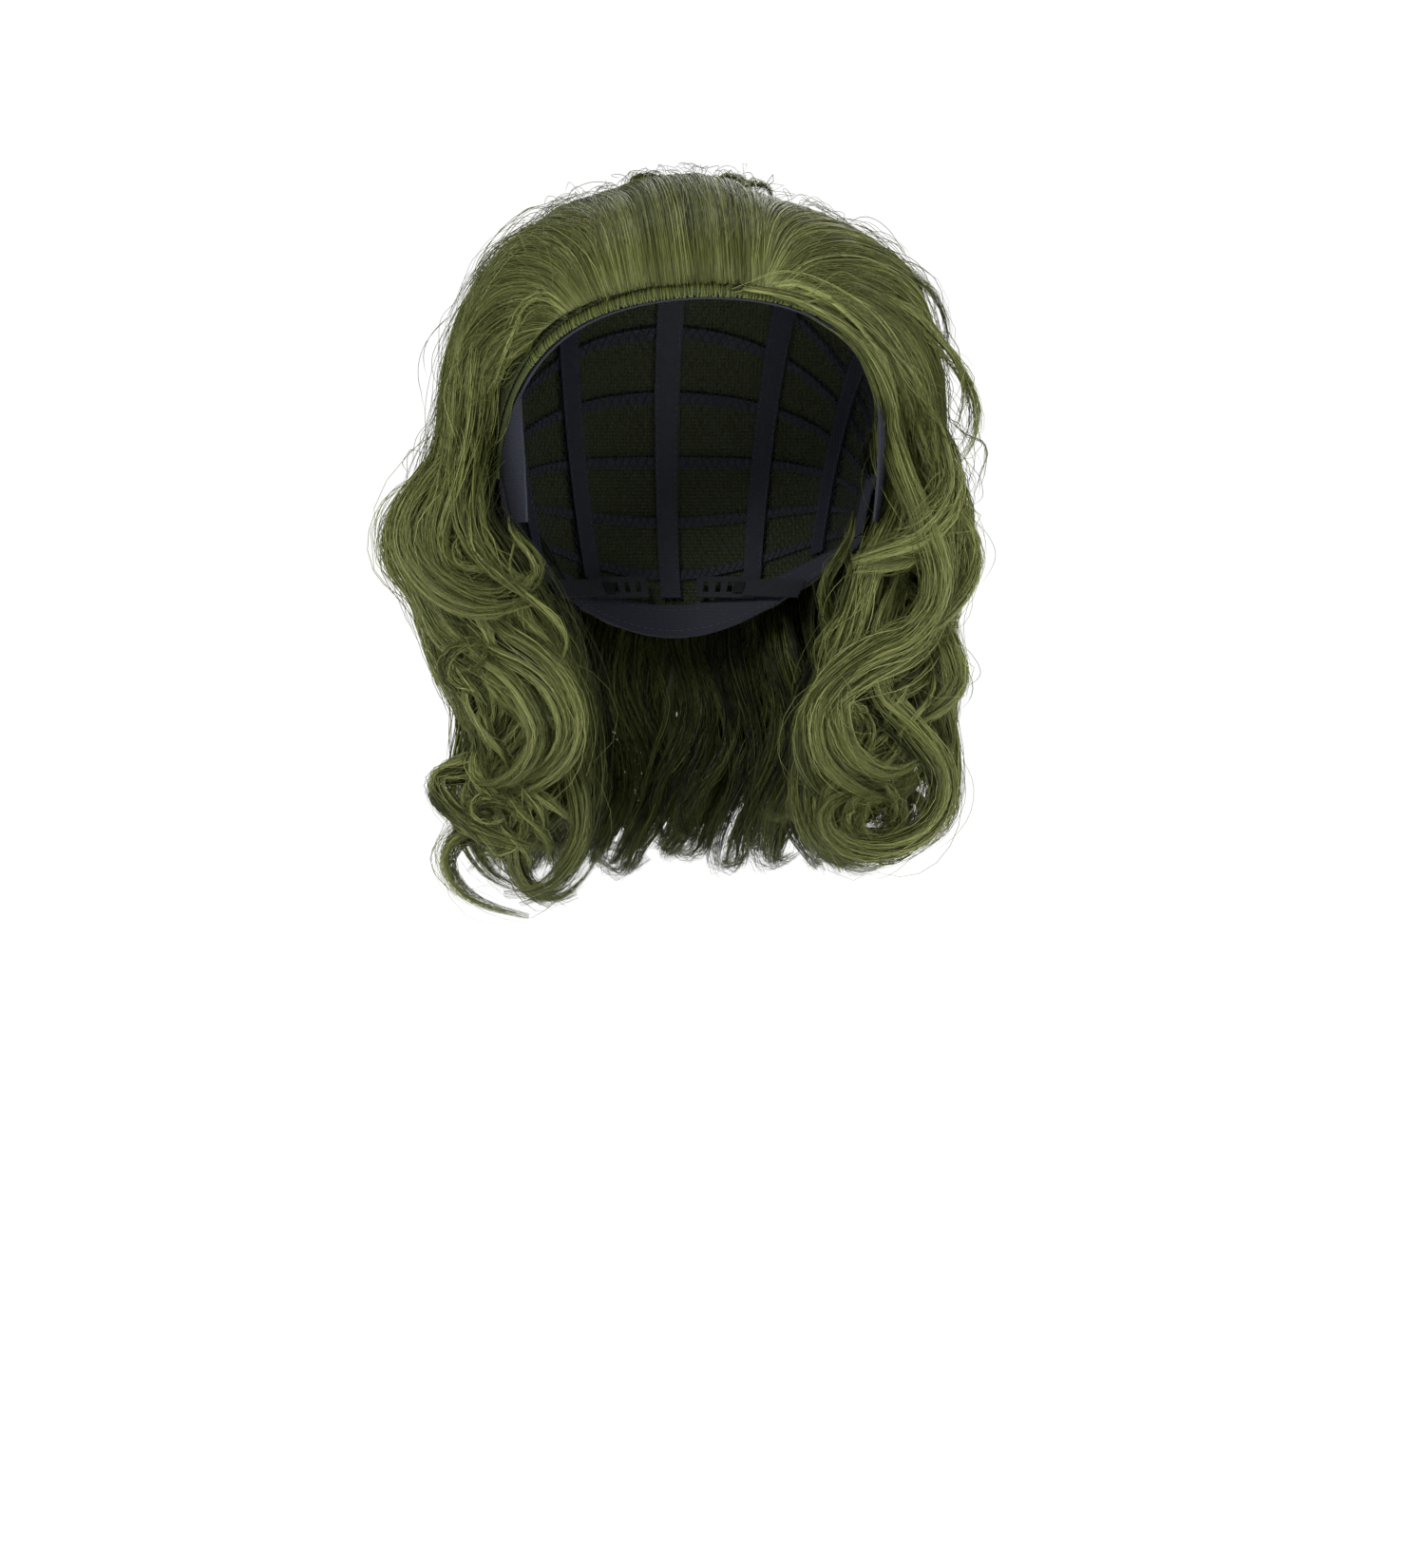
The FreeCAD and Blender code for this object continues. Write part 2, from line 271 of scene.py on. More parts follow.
class Piece:
    """Strands and cores gathered for one mesh."""

    def __init__(self):
        self.points, self.walls, self.caps, self.wall_tones, self.cap_tones = [], [], [], [], []
        self.size = 0

    def add(self, points, walls, caps, wall_tones, cap_tones):
        self.points.append(points)
        self.walls.append(walls + self.size)
        self.caps.append(caps + self.size)
        self.wall_tones.append(wall_tones)
        self.cap_tones.append(cap_tones)
        self.size += len(points)

    def triangles(self):
        return sum(len(w) for w in self.walls) * 2 + sum(len(c) * (c.shape[1] - 2) for c in self.caps)

    def make(self, name):
        by_corners = {}
        for block, tones in zip(self.walls + self.caps, self.wall_tones + self.cap_tones):
            by_corners.setdefault(block.shape[1], []).append((block, tones))
        blocks = [np.concatenate([b for b, _ in group]) for group in by_corners.values()]
        indices = np.concatenate([t for group in by_corners.values() for _, t in group])
        return new_object(name, np.concatenate(self.points), blocks, hair_tones, indices)


def piece(name, more):
    """The mesh being filled under this name; a new one starts when the last would grow too heavy."""
    parts = pieces.setdefault(name, [Piece()])
    if parts[-1].size and parts[-1].triangles() + more > MOST_TRIANGLES:
        parts.append(Piece())
    return parts[-1]


def tone_index(level):
    return np.clip(np.rint(level * (TONE_COUNT - 1)), 0, TONE_COUNT - 1).astype(int)


def add_strands(name, paths, tone, radius=STRAND_RADIUS):
    """Strands (strands, stations, 3) with tones in 0..1 of the same shape, fine at the tip."""
    count, stations, _ = paths.shape
    share = np.linspace(0, 1, stations)
    taper = (0.55 + 0.45 * smooth(share / 0.1)) * (1 - 0.82 * smooth((share - 0.72) / 0.28))
    thickness = radius * random.uniform(0.7, 1.3, (count, 1)) * taper
    points, walls, caps = tubes(paths, thickness, STRAND_SIDES)
    index = tone_index(tone + random.uniform(-0.05, 0.05, (count, 1)))
    wall_tones = np.repeat(index[:, :-1], STRAND_SIDES, axis=1).ravel()
    piece(name, len(walls) * 2 + len(caps)).add(
        points, walls, caps, wall_tones, np.concatenate([index[:, 0], index[:, -1]]))


def wander(count, share, cycles, size):
    """Smooth random drift for each strand at its shares: (count, stations, 2)."""
    shift = np.zeros(share.shape + (2,))
    for _ in range(3):
        phase = random.uniform(0, 2 * np.pi, (count, 1, 2))
        speed = random.uniform(0.4, 1.0, (count, 1, 2)) * cycles * 2 * np.pi
        shift += np.sin(share[..., None] * speed + phase) * random.normal(0, 0.5, (count, 1, 2))
    return shift * size


def frames(line, outward):
    """Along, across and outward unit vectors on a line (samples, 3)."""
    along = unit(np.gradient(line, axis=0))
    out = unit(outward - (outward * along).sum(-1, keepdims=True) * along)
    return along, np.cross(out, along), out


def away_from_axis(points):
    """Outward from the middle of the head above the ears, and from its vertical axis below."""
    axis_z = np.maximum(points[..., 2], EAR_POINT[2])
    middle = np.stack([np.zeros_like(axis_z), np.full_like(axis_z, 8.0), np.minimum(axis_z, CENTRE[2])], -1)
    middle[..., 2] = np.where(points[..., 2] < CENTRE[2], points[..., 2], CENTRE[2])
    return unit(points - middle)


def lock(name, points, width, depth, count, tone=0.5, ends=(0.86, 1.0), frizz=0.6, clump=14, fill=True,
         radius=STRAND_RADIUS, stray=0.03, starts=(0.0, 0.03)):
    """A lock of hair along a curve: half width and half depth profiles, clumps of strands, a dark core."""
    line = curve(points)
    share = np.linspace(0, 1, len(line))
    out = away_from_axis(line)
    wide, deep = profile(width, share), profile(depth, share)
    line = line - unit(out) * (0.95 * deep * smooth((line[:, 2] + 128) / 30))[:, None]
    along, across, out = frames(line, out)
    stations = int(np.clip(np.linalg.norm(np.diff(line, axis=0), axis=1).sum() / 8.5, 12, 44))
    steps = np.linspace(0, 1, stations)
    groups = max(3, count // clump)
    angle = random.uniform(0, 2 * np.pi, groups)
    reach = np.sqrt(random.uniform(0.12, 1, groups))
    middle = np.stack([np.cos(angle) * reach, np.sin(angle) * reach], -1)
    group = random.integers(0, groups, count)
    place = middle[group] + random.normal(0, 0.13, (count, 2))
    place /= np.maximum(1, np.linalg.norm(place, axis=1, keepdims=True) / 1.08)
    start = random.uniform(*starts, (count, 1))
    end = random.uniform(*ends, (count, 1)) + random.normal(0, 0.03, (groups, 1))[group]
    at = np.clip(start + (end - start) * steps, 0, 1)
    gather = 1 - 0.35 * at
    group_drift = wander(groups, steps[None].repeat(groups, 0), 1.6, 0.26)[group]
    own_drift = wander(count, at, 4.0, frizz) * (0.25 + 0.75 * at[..., None])
    loose = random.random((count, 1, 1)) < stray
    own_drift *= np.where(loose, 4.5, 1.0)
    local = middle[group][:, None] + (place - middle[group])[:, None] * gather[..., None] + group_drift
    aside = local[..., :1] * read(wide, at)[..., None] + own_drift[..., :1]
    outward = local[..., 1:] * read(deep, at)[..., None] + own_drift[..., 1:]
    paths = read(line, at) + read(across, at) * aside + read(out, at) * outward
    level = (tone + random.normal(0, 0.08, groups)[group] + random.normal(0, 0.14, count))[:, None]
    # painted shade: strands on the inner side of a lock are darker, those on its outer side lighter
    shade = 0.24 * np.clip(local[..., 1], -1, 1)
    add_strands(name, paths, level + shade + 0.05 * np.sin(at * 9 + group[:, None]), radius)
    if fill:
        core(name, line, across, out, wide * CORE_WIDTH, deep * CORE_DEPTH)


def core(name, line, across, out, wide, deep):
    """A ridged dark body inside a lock, so that light does not pass straight through it; its dark tone is
    painted shade.
    """
    share = np.linspace(0.0, 0.93, CORE_STATIONS)
    turn = 2 * np.pi * np.arange(CORE_SIDES) / CORE_SIDES
    ridge = 1 + 0.10 * np.where(np.arange(CORE_SIDES) % 2, 1, -1)
    ease = np.minimum(1, np.minimum(share / 0.05 + 0.25, (0.93 - share) / 0.12 + 0.08))
    half_width = (read(wide, share) * ease)[:, None, None]
    half_depth = (read(deep, share) * ease)[:, None, None]
    ring = (read(across, share)[:, None] * (np.cos(turn) * ridge)[:, None] * half_width
            + read(out, share)[:, None] * (np.sin(turn) * ridge)[:, None] * half_depth)
    points = (read(line, share)[:, None] + ring).reshape(-1, 3)
    walls = grid_faces(CORE_STATIONS, CORE_SIDES, wrap=True)[:, ::-1]
    first = np.arange(CORE_SIDES)
    last = first + (CORE_STATIONS - 1) * CORE_SIDES
    fan = [[first[0], first[i], first[i + 1]] for i in range(1, CORE_SIDES - 1)]
    fan += [[last[0], last[i + 1], last[i]] for i in range(1, CORE_SIDES - 1)]
    index = int(tone_index(CORE_SHADE_TONE))
    piece(name, len(walls) * 2).add(
        points, walls, np.array(fan), np.full(len(walls), index), np.full(len(fan), index))


def hair_sheet(name, guides, count, depth, tone, ends=(0.9, 1.0), starts=(0.0, 0.02), frizz=0.35,
               stations=24):
    """Hair that flows between neighbouring guide curves: strands lie in layers down to a depth under them."""
    lines = np.stack([curve(g) for g in guides])
    last = len(lines) - 1
    groups = max(4, count // SHEET_CLUMP)
    group = random.integers(0, groups, count)
    centre = random.uniform(0.0, 1.0, groups)
    across_at = np.clip(centre[group] + random.normal(0, 0.28 / np.sqrt(groups), count), 0.0, 1.0) * last
    layer = random.random(groups)[group] * 0.75 + random.random(count) * 0.25
    start = random.uniform(*starts, (count, 1))
    end = random.uniform(*ends, (count, 1))
    steps = np.linspace(0, 1, stations)
    at = np.clip(start + (end - start) * steps, 0, 1)
    low = np.clip(across_at.astype(int), 0, last - 1)
    part = (across_at - low)[:, None, None]
    before, after = np.maximum(low - 1, 0), np.minimum(low + 2, last)

    def sampled(which):
        position = at * (SAMPLES - 1)
        floor = np.minimum(position.astype(int), SAMPLES - 2)
        share = (position - floor)[..., None]
        return lines[which[:, None], floor] * (1 - share) + lines[which[:, None], floor + 1] * share

    a, b, c, d = (sampled(w) for w in (before, low, low + 1, after))
    base = 0.5 * (2 * b + (c - a) * part + (2 * a - 5 * b + 4 * c - d) * part**2
                  + (3 * b - a - 3 * c + d) * part**3)
    out = away_from_axis(base)
    along = unit(np.gradient(base, axis=1))
    side = unit(np.cross(out, along))
    grow = smooth(at / 0.12)[..., None]
    drift = wander(count, at, 3.0, frizz)
    group_drift = wander(groups, steps[None].repeat(groups, 0), 1.5, 0.7)[group]
    loose = np.where(random.random((count, 1, 1)) < SHEET_STRAY, 3.5, 1.0)
    drift = drift * loose + group_drift
    sunk = (depth * layer[:, None] * grow[..., 0])[..., None]
    paths = base + side * drift[..., :1] * grow + out * (np.abs(drift[..., 1:]) * grow * 0.6 - sunk)
    level = tone + random.normal(0, SHEET_STREAK, groups)[group] + random.normal(0, 0.13, count)
    # painted shade: strands lying deeper under the sheet are darker
    level = level - 0.42 * (layer - 0.3)        # the deeper, the darker
    add_strands(name, paths, level[:, None] + 0.03 * np.sin(at * 7 + group[:, None]))


# ---------------------------------------------------------------- camera, light and floor
VIEW_TURN = math.radians(-6.0)      # the camera stands a little to the wig's right
VIEW_RISE = math.radians(2.5)
CAMERA_DISTANCE = 3.6
FRAME_HEIGHT = 0.627                # what the picture's height shows at the wig
FRAME_CENTRE = (0.0087, -0.232)     # beside and below the origin, as the camera sees it
SENSOR = 36                         # mm
FLOOR_Z = -0.494                    # where a stand's foot would be
FLOOR_REACH, FLOOR_GLOW = 8.5, 0.65
BACKDROP_RADIUS, BACKDROP_GLOW = 9.0, 1.02      # a white dome that only the camera sees
SKY_STRENGTH = 0.45
LIGHTS = (      # name, place, target, size in metres, power in watts
    ("key", (-0.9, -1.6, 0.9), (0, 0, -0.1), (0.6, 0.6), 34),
    ("fill", (1.2, -1.4, 0.2), (0, 0, -0.15), (0.8, 1.0), 15),
    ("top", (0.0, 0.25, 1.3), (0, 0, 0), (0.9, 0.7), 13),
    ("back", (0.5, 1.5, 0.5), (0, 0, -0.1), (1.0, 1.0), 12),
)


def place_camera():
    data = bpy.data.cameras.new("camera")
    data.sensor_width = SENSOR
    data.lens = SENSOR * CAMERA_DISTANCE / FRAME_HEIGHT
    camera = link(bpy.data.objects.new("camera", data))
    right = Vector((math.cos(VIEW_TURN), math.sin(VIEW_TURN), 0))
    forward = Vector((-math.sin(VIEW_TURN) * math.cos(VIEW_RISE), math.cos(VIEW_TURN) * math.cos(VIEW_RISE),
                      -math.sin(VIEW_RISE)))
    target = right * FRAME_CENTRE[0] + Vector((0, 0, FRAME_CENTRE[1]))
    camera.location = target - forward * CAMERA_DISTANCE
    camera.rotation_euler = forward.to_track_quat("-Z", "Y").to_euler()
    bpy.context.scene.camera = camera


def area_light(name, place, target, size, power):
    data = bpy.data.lights.new(name, "AREA")
    data.shape, data.size, data.size_y = "RECTANGLE", size[0], size[1]
    data.energy = power
    light = bpy.data.objects.new(name, data)
    light.location = place
    light.rotation_euler = (Vector(target) - Vector(place)).to_track_quat("-Z", "Y").to_euler()
    link(light)


def sky():
    world = bpy.data.worlds.new("studio")
    world.use_nodes = True
    background = world.node_tree.nodes["Background"]
    background.inputs["Color"].default_value = (1, 1, 1, 1)
    background.inputs["Strength"].default_value = SKY_STRENGTH
    bpy.context.scene.world = world


def glowing_white(name, colour, roughness, glow):
    return principled(name, colour, roughness, Specular_IOR_Level=0.0,
                      Emission_Color=(1, 1, 1, 1), Emission_Strength=glow)[0]


def pale_floor():
    mesh = bpy.data.meshes.new("floor")
    corners = [(x * FLOOR_REACH, y * FLOOR_REACH, FLOOR_Z) for x, y in ((-1, -1), (1, -1), (1, 1), (-1, 1))]
    mesh.from_pydata(corners, [], [(0, 1, 2, 3)])
    mesh.materials.append(glowing_white("floor_white", (0.9, 0.9, 0.9), 0.8, FLOOR_GLOW))
    return link(bpy.data.objects.new("floor", mesh))


def backdrop():
    """A white dome behind everything, which gives the wig no light."""
    mesh = bpy.data.meshes.new("backdrop")
    shape = bmesh.new()
    bmesh.ops.create_uvsphere(shape, u_segments=48, v_segments=24, radius=BACKDROP_RADIUS)
    shape.to_mesh(mesh)
    shape.free()
    mesh.materials.append(glowing_white("backdrop_white", (0, 0, 0), 1.0, BACKDROP_GLOW))
    dome = link(bpy.data.objects.new("backdrop", mesh))
    dome.visible_diffuse = dome.visible_glossy = dome.visible_shadow = dome.visible_transmission = False
    return dome


def studio():
    sky()
    for light in LIGHTS:
        area_light(*light)
    floor, dome = pale_floor(), backdrop()
    bpy.context.scene.view_settings.view_transform = "Standard"


place_camera()
studio()


# ---------------------------------------------------------------- laying hair on the head
def hair_surface(across, along, share=1.0):
    """The hair's outside at cap coordinates, thin at the hairline and full from a fifth of the way back."""
    across, along = np.broadcast_arrays(np.asarray(across, float), np.asarray(along, float))
    point = cap_point(across, along, np.zeros(across.shape))
    return on_hair(point, (0.16 + 0.84 * smooth(along / 0.2)) * share)


def route(steps):
    """A guide over the head through cap coordinates."""
    return hair_surface(*np.array(steps, float).T)


def hanging(x, y, z):
    """A point beside the origin as the camera sees it, drawn in at the waist, at the row frame's y and z."""
    c, s = math.cos(VIEW_TURN), math.sin(VIEW_TURN)
    return [(x * waist(x, z) - y * s) / c, y, z]


LEFT_WAIST, RIGHT_WAIST = 0.055, 0.10           # shares of the distance beside the origin


def waist(x, z):
    """How much the hanging hair is drawn in: all of it on the wig's left, half-way down on its right."""
    if x > 0:
        return 1 - LEFT_WAIST * smooth((-105 - z) / 25)
    return 1 - RIGHT_WAIST * smooth((-140 - z) / 25) * (1 - smooth((-212 - z) / 25))


def hung(points):
    return np.array([hanging(*p) for p in points])


LAID_ACROSS, LAID_ALONG = np.meshgrid(np.linspace(-1.03, 1.03, 241), np.linspace(0.0, 0.75, 181))
LAID = hair_surface(LAID_ACROSS, LAID_ALONG)
LAID_X = LAID[..., 0] * math.cos(VIEW_TURN) + LAID[..., 1] * math.sin(VIEW_TURN)
LAID_DEPTH = LAID[..., 1] * math.cos(VIEW_TURN) - LAID[..., 0] * math.sin(VIEW_TURN)
VISIBLE_DEPTH, HIDDEN = 25, 1e6         # what lies farther back can't be picked


def laid(top, below=(), share=1.0):
    """A guide over the head through points (beside, above) as the camera sees them, then hanging points."""
    steps = []
    for x, z in top:
        gap = (LAID_X - x) ** 2 + (LAID[..., 2] - z) ** 2 + np.where(LAID_DEPTH > VISIBLE_DEPTH, HIDDEN, 0)
        best = np.unravel_index(np.argmin(gap), gap.shape)
        steps.append((LAID_ACROSS[best], LAID_ALONG[best]))
    top = hair_surface(*np.array(steps).T, share)
    return np.concatenate([top, hung(below)]) if len(below) else top


# ---------------------------------------------------------------- the swept-back top
CENTRE_LINES = [[(u, 0.004), (u, 0.10), (u * 1.05, 0.22), (u * 1.1, 0.36), (u * 1.15, 0.5), (u * 1.2, 0.62)]
                for u in (-0.24, -0.16, -0.08, 0.0, 0.08, 0.13)]
FOUNTAIN_LINES = [          # the wig's right: up from the hairline, over the outline and down
    [(-0.22, 0.004), (-0.23, 0.10), (-0.26, 0.22), (-0.30, 0.36), (-0.34, 0.50), (-0.38, 0.62)],
    [(-0.25, 0.004), (-0.28, 0.10), (-0.36, 0.20), (-0.46, 0.30), (-0.58, 0.41), (-0.72, 0.50),
     (-0.90, 0.57)],
    [(-0.30, 0.004), (-0.34, 0.09), (-0.43, 0.18), (-0.56, 0.27), (-0.72, 0.34), (-0.88, 0.38), (-1.0, 0.40)],
    [(-0.35, 0.004), (-0.40, 0.07), (-0.50, 0.14), (-0.63, 0.20), (-0.78, 0.25), (-0.90, 0.27), (-1.0, 0.28)],
    [(-0.40, 0.004), (-0.46, 0.05), (-0.56, 0.10), (-0.69, 0.145), (-0.82, 0.17), (-0.92, 0.18),
     (-1.0, 0.19)],
    [(-0.46, 0.004), (-0.53, 0.03), (-0.62, 0.065), (-0.73, 0.09), (-0.84, 0.11), (-0.93, 0.125),
     (-1.0, 0.13)],
    [(-0.52, 0.004), (-0.58, 0.02), (-0.67, 0.045), (-0.77, 0.065), (-0.86, 0.08), (-0.94, 0.095),
     (-1.0, 0.10)],
]
SWEEP_LINES = [             # the wig's left: from the parting sideways along the hairline and down
    [(0.10, 0.004), (0.11, 0.10), (0.14, 0.22), (0.18, 0.36), (0.23, 0.50), (0.27, 0.62)],
    [(0.12, 0.004), (0.17, 0.10), (0.27, 0.20), (0.40, 0.31), (0.54, 0.42), (0.70, 0.51), (0.90, 0.57)],
    [(0.13, 0.004), (0.21, 0.09), (0.36, 0.18), (0.52, 0.27), (0.70, 0.34), (0.88, 0.38), (1.0, 0.40)],
    [(0.15, 0.004), (0.25, 0.06), (0.41, 0.13), (0.58, 0.19), (0.75, 0.24), (0.90, 0.27), (1.0, 0.28)],
    [(0.19, 0.004), (0.31, 0.04), (0.47, 0.08), (0.63, 0.12), (0.79, 0.16), (0.91, 0.18), (1.0, 0.19)],
    [(0.27, 0.004), (0.38, 0.022), (0.53, 0.045), (0.68, 0.07), (0.82, 0.09), (0.92, 0.10), (1.0, 0.11)],
    [(0.40, 0.004), (0.50, 0.008), (0.62, 0.02), (0.74, 0.035), (0.85, 0.045), (0.93, 0.055), (1.0, 0.06)],
]


def falling(u):
    """A waved guide from the crown down the back at one place across, on past the cap's edge."""
    beside = abs(u) >= 0.75
    along = np.linspace(0.28, 0.985 if beside else 0.90, 13)
    grown = smooth((along - 0.42) / 0.4)
    wave = grown * np.sin(22 * along + 1.2 * math.sin(4 * u) + 1.5 * u)
    path = hair_surface(u * (1 - 0.10 * smooth((along - 0.6) / 0.4)) + 0.022 * wave, along)
    path += unit(path - EAR_POINT) * (1.6 * np.cos(22 * along + 3 * u) * grown)[:, None]
    x, y, z = path[-1]
    if beside:
        return np.concatenate([path, [(x, y + 3, z - 13), (x, y + 4, z - 27), (x, y + 3, z - 42)]])
    return np.concatenate([path, [(x + 3, y - 1.5, z - 13), (x + 5, y - 4, z - 26), (x, y - 6, z - 40)]])


def top_hair():
    centre = [route(s) for s in CENTRE_LINES]
    right = [route(s) for s in FOUNTAIN_LINES]
    left = [route(s) for s in SWEEP_LINES]
    hair_sheet("top_centre", centre, 2100, 3.6, 0.47, stations=22, ends=(0.8, 1.0))
    hair_sheet("top_right", right, 3000, 4.6, 0.47, stations=24, ends=(0.82, 1.0))
    hair_sheet("top_right", right, 500, 2.5, 0.50, starts=(0.2, 0.5), stations=18)
    # The wig's left side of the top is a little lighter than its right: painted highlight.
    hair_sheet("top_left", left, 3000, 4.6, 0.52, stations=24, ends=(0.82, 1.0))
    hair_sheet("top_left", left, 500, 2.5, 0.54, starts=(0.2, 0.5), stations=18)
    back_guides = (
        ([falling(u) for u in np.linspace(-1.0, 1.0, 11)], 3200),
        ([falling(-u) for u in np.linspace(0.5, 1.0, 5)], 700),
        ([falling(u) for u in np.linspace(0.5, 1.0, 5)], 700),
    )
    for guides, count in back_guides:
        hair_sheet("back_fall", guides, count, 4.6, 0.47, starts=(0.0, 0.4), ends=(0.72, 1.0), stations=20,
                   frizz=0.5)


def underlay():
    """The dense hair under the visible strands, from just outside the net up to just under them; its dark
    green is painted shade.
    """
    rows, columns = 60, 90
    along, across = np.meshgrid(np.linspace(0.012, 0.985, rows), np.linspace(-1.0, 1.0, columns),
                                indexing="ij")
    outer = hair_surface(across, along)
    way = unit(outer - EAR_POINT)
    inner_reach = head_reach(way, np.full(way.shape[:-1], HAIR_BASE + 0.2))
    edge = smooth(along / 0.10) * smooth((1 - along) / 0.22) * smooth((1 - np.abs(across)) / 0.16)
    full_reach = np.linalg.norm(outer - EAR_POINT, axis=-1) - 4.8
    outer_reach = inner_reach + 0.4 + np.maximum(full_reach - inner_reach, 0.0) * edge
    ripple = 0.5 * np.sin(across * 240 + 3 * np.sin(along * 9))
    outer = EAR_POINT + way * (outer_reach + ripple * smooth(along / 0.15))[..., None]
    inner = EAR_POINT + way * inner_reach[..., None]
    size = rows * columns
    border = np.concatenate([np.arange(columns), np.arange(1, rows) * columns + columns - 1,
                             (rows - 1) * columns + np.arange(columns - 2, -1, -1),
                             np.arange(rows - 2, 0, -1) * columns])
    ahead = np.roll(border, -1)
    rim = np.stack([border, border + size, ahead + size, ahead], -1)
    top = grid_faces(rows, columns)
    faces = np.concatenate([top[:, ::-1], top + size, rim[:, ::-1]])
    points = np.concatenate([outer.reshape(-1, 3), inner.reshape(-1, 3)])
    return new_object("hair_underlay", points, faces, [underlay_shade_material])


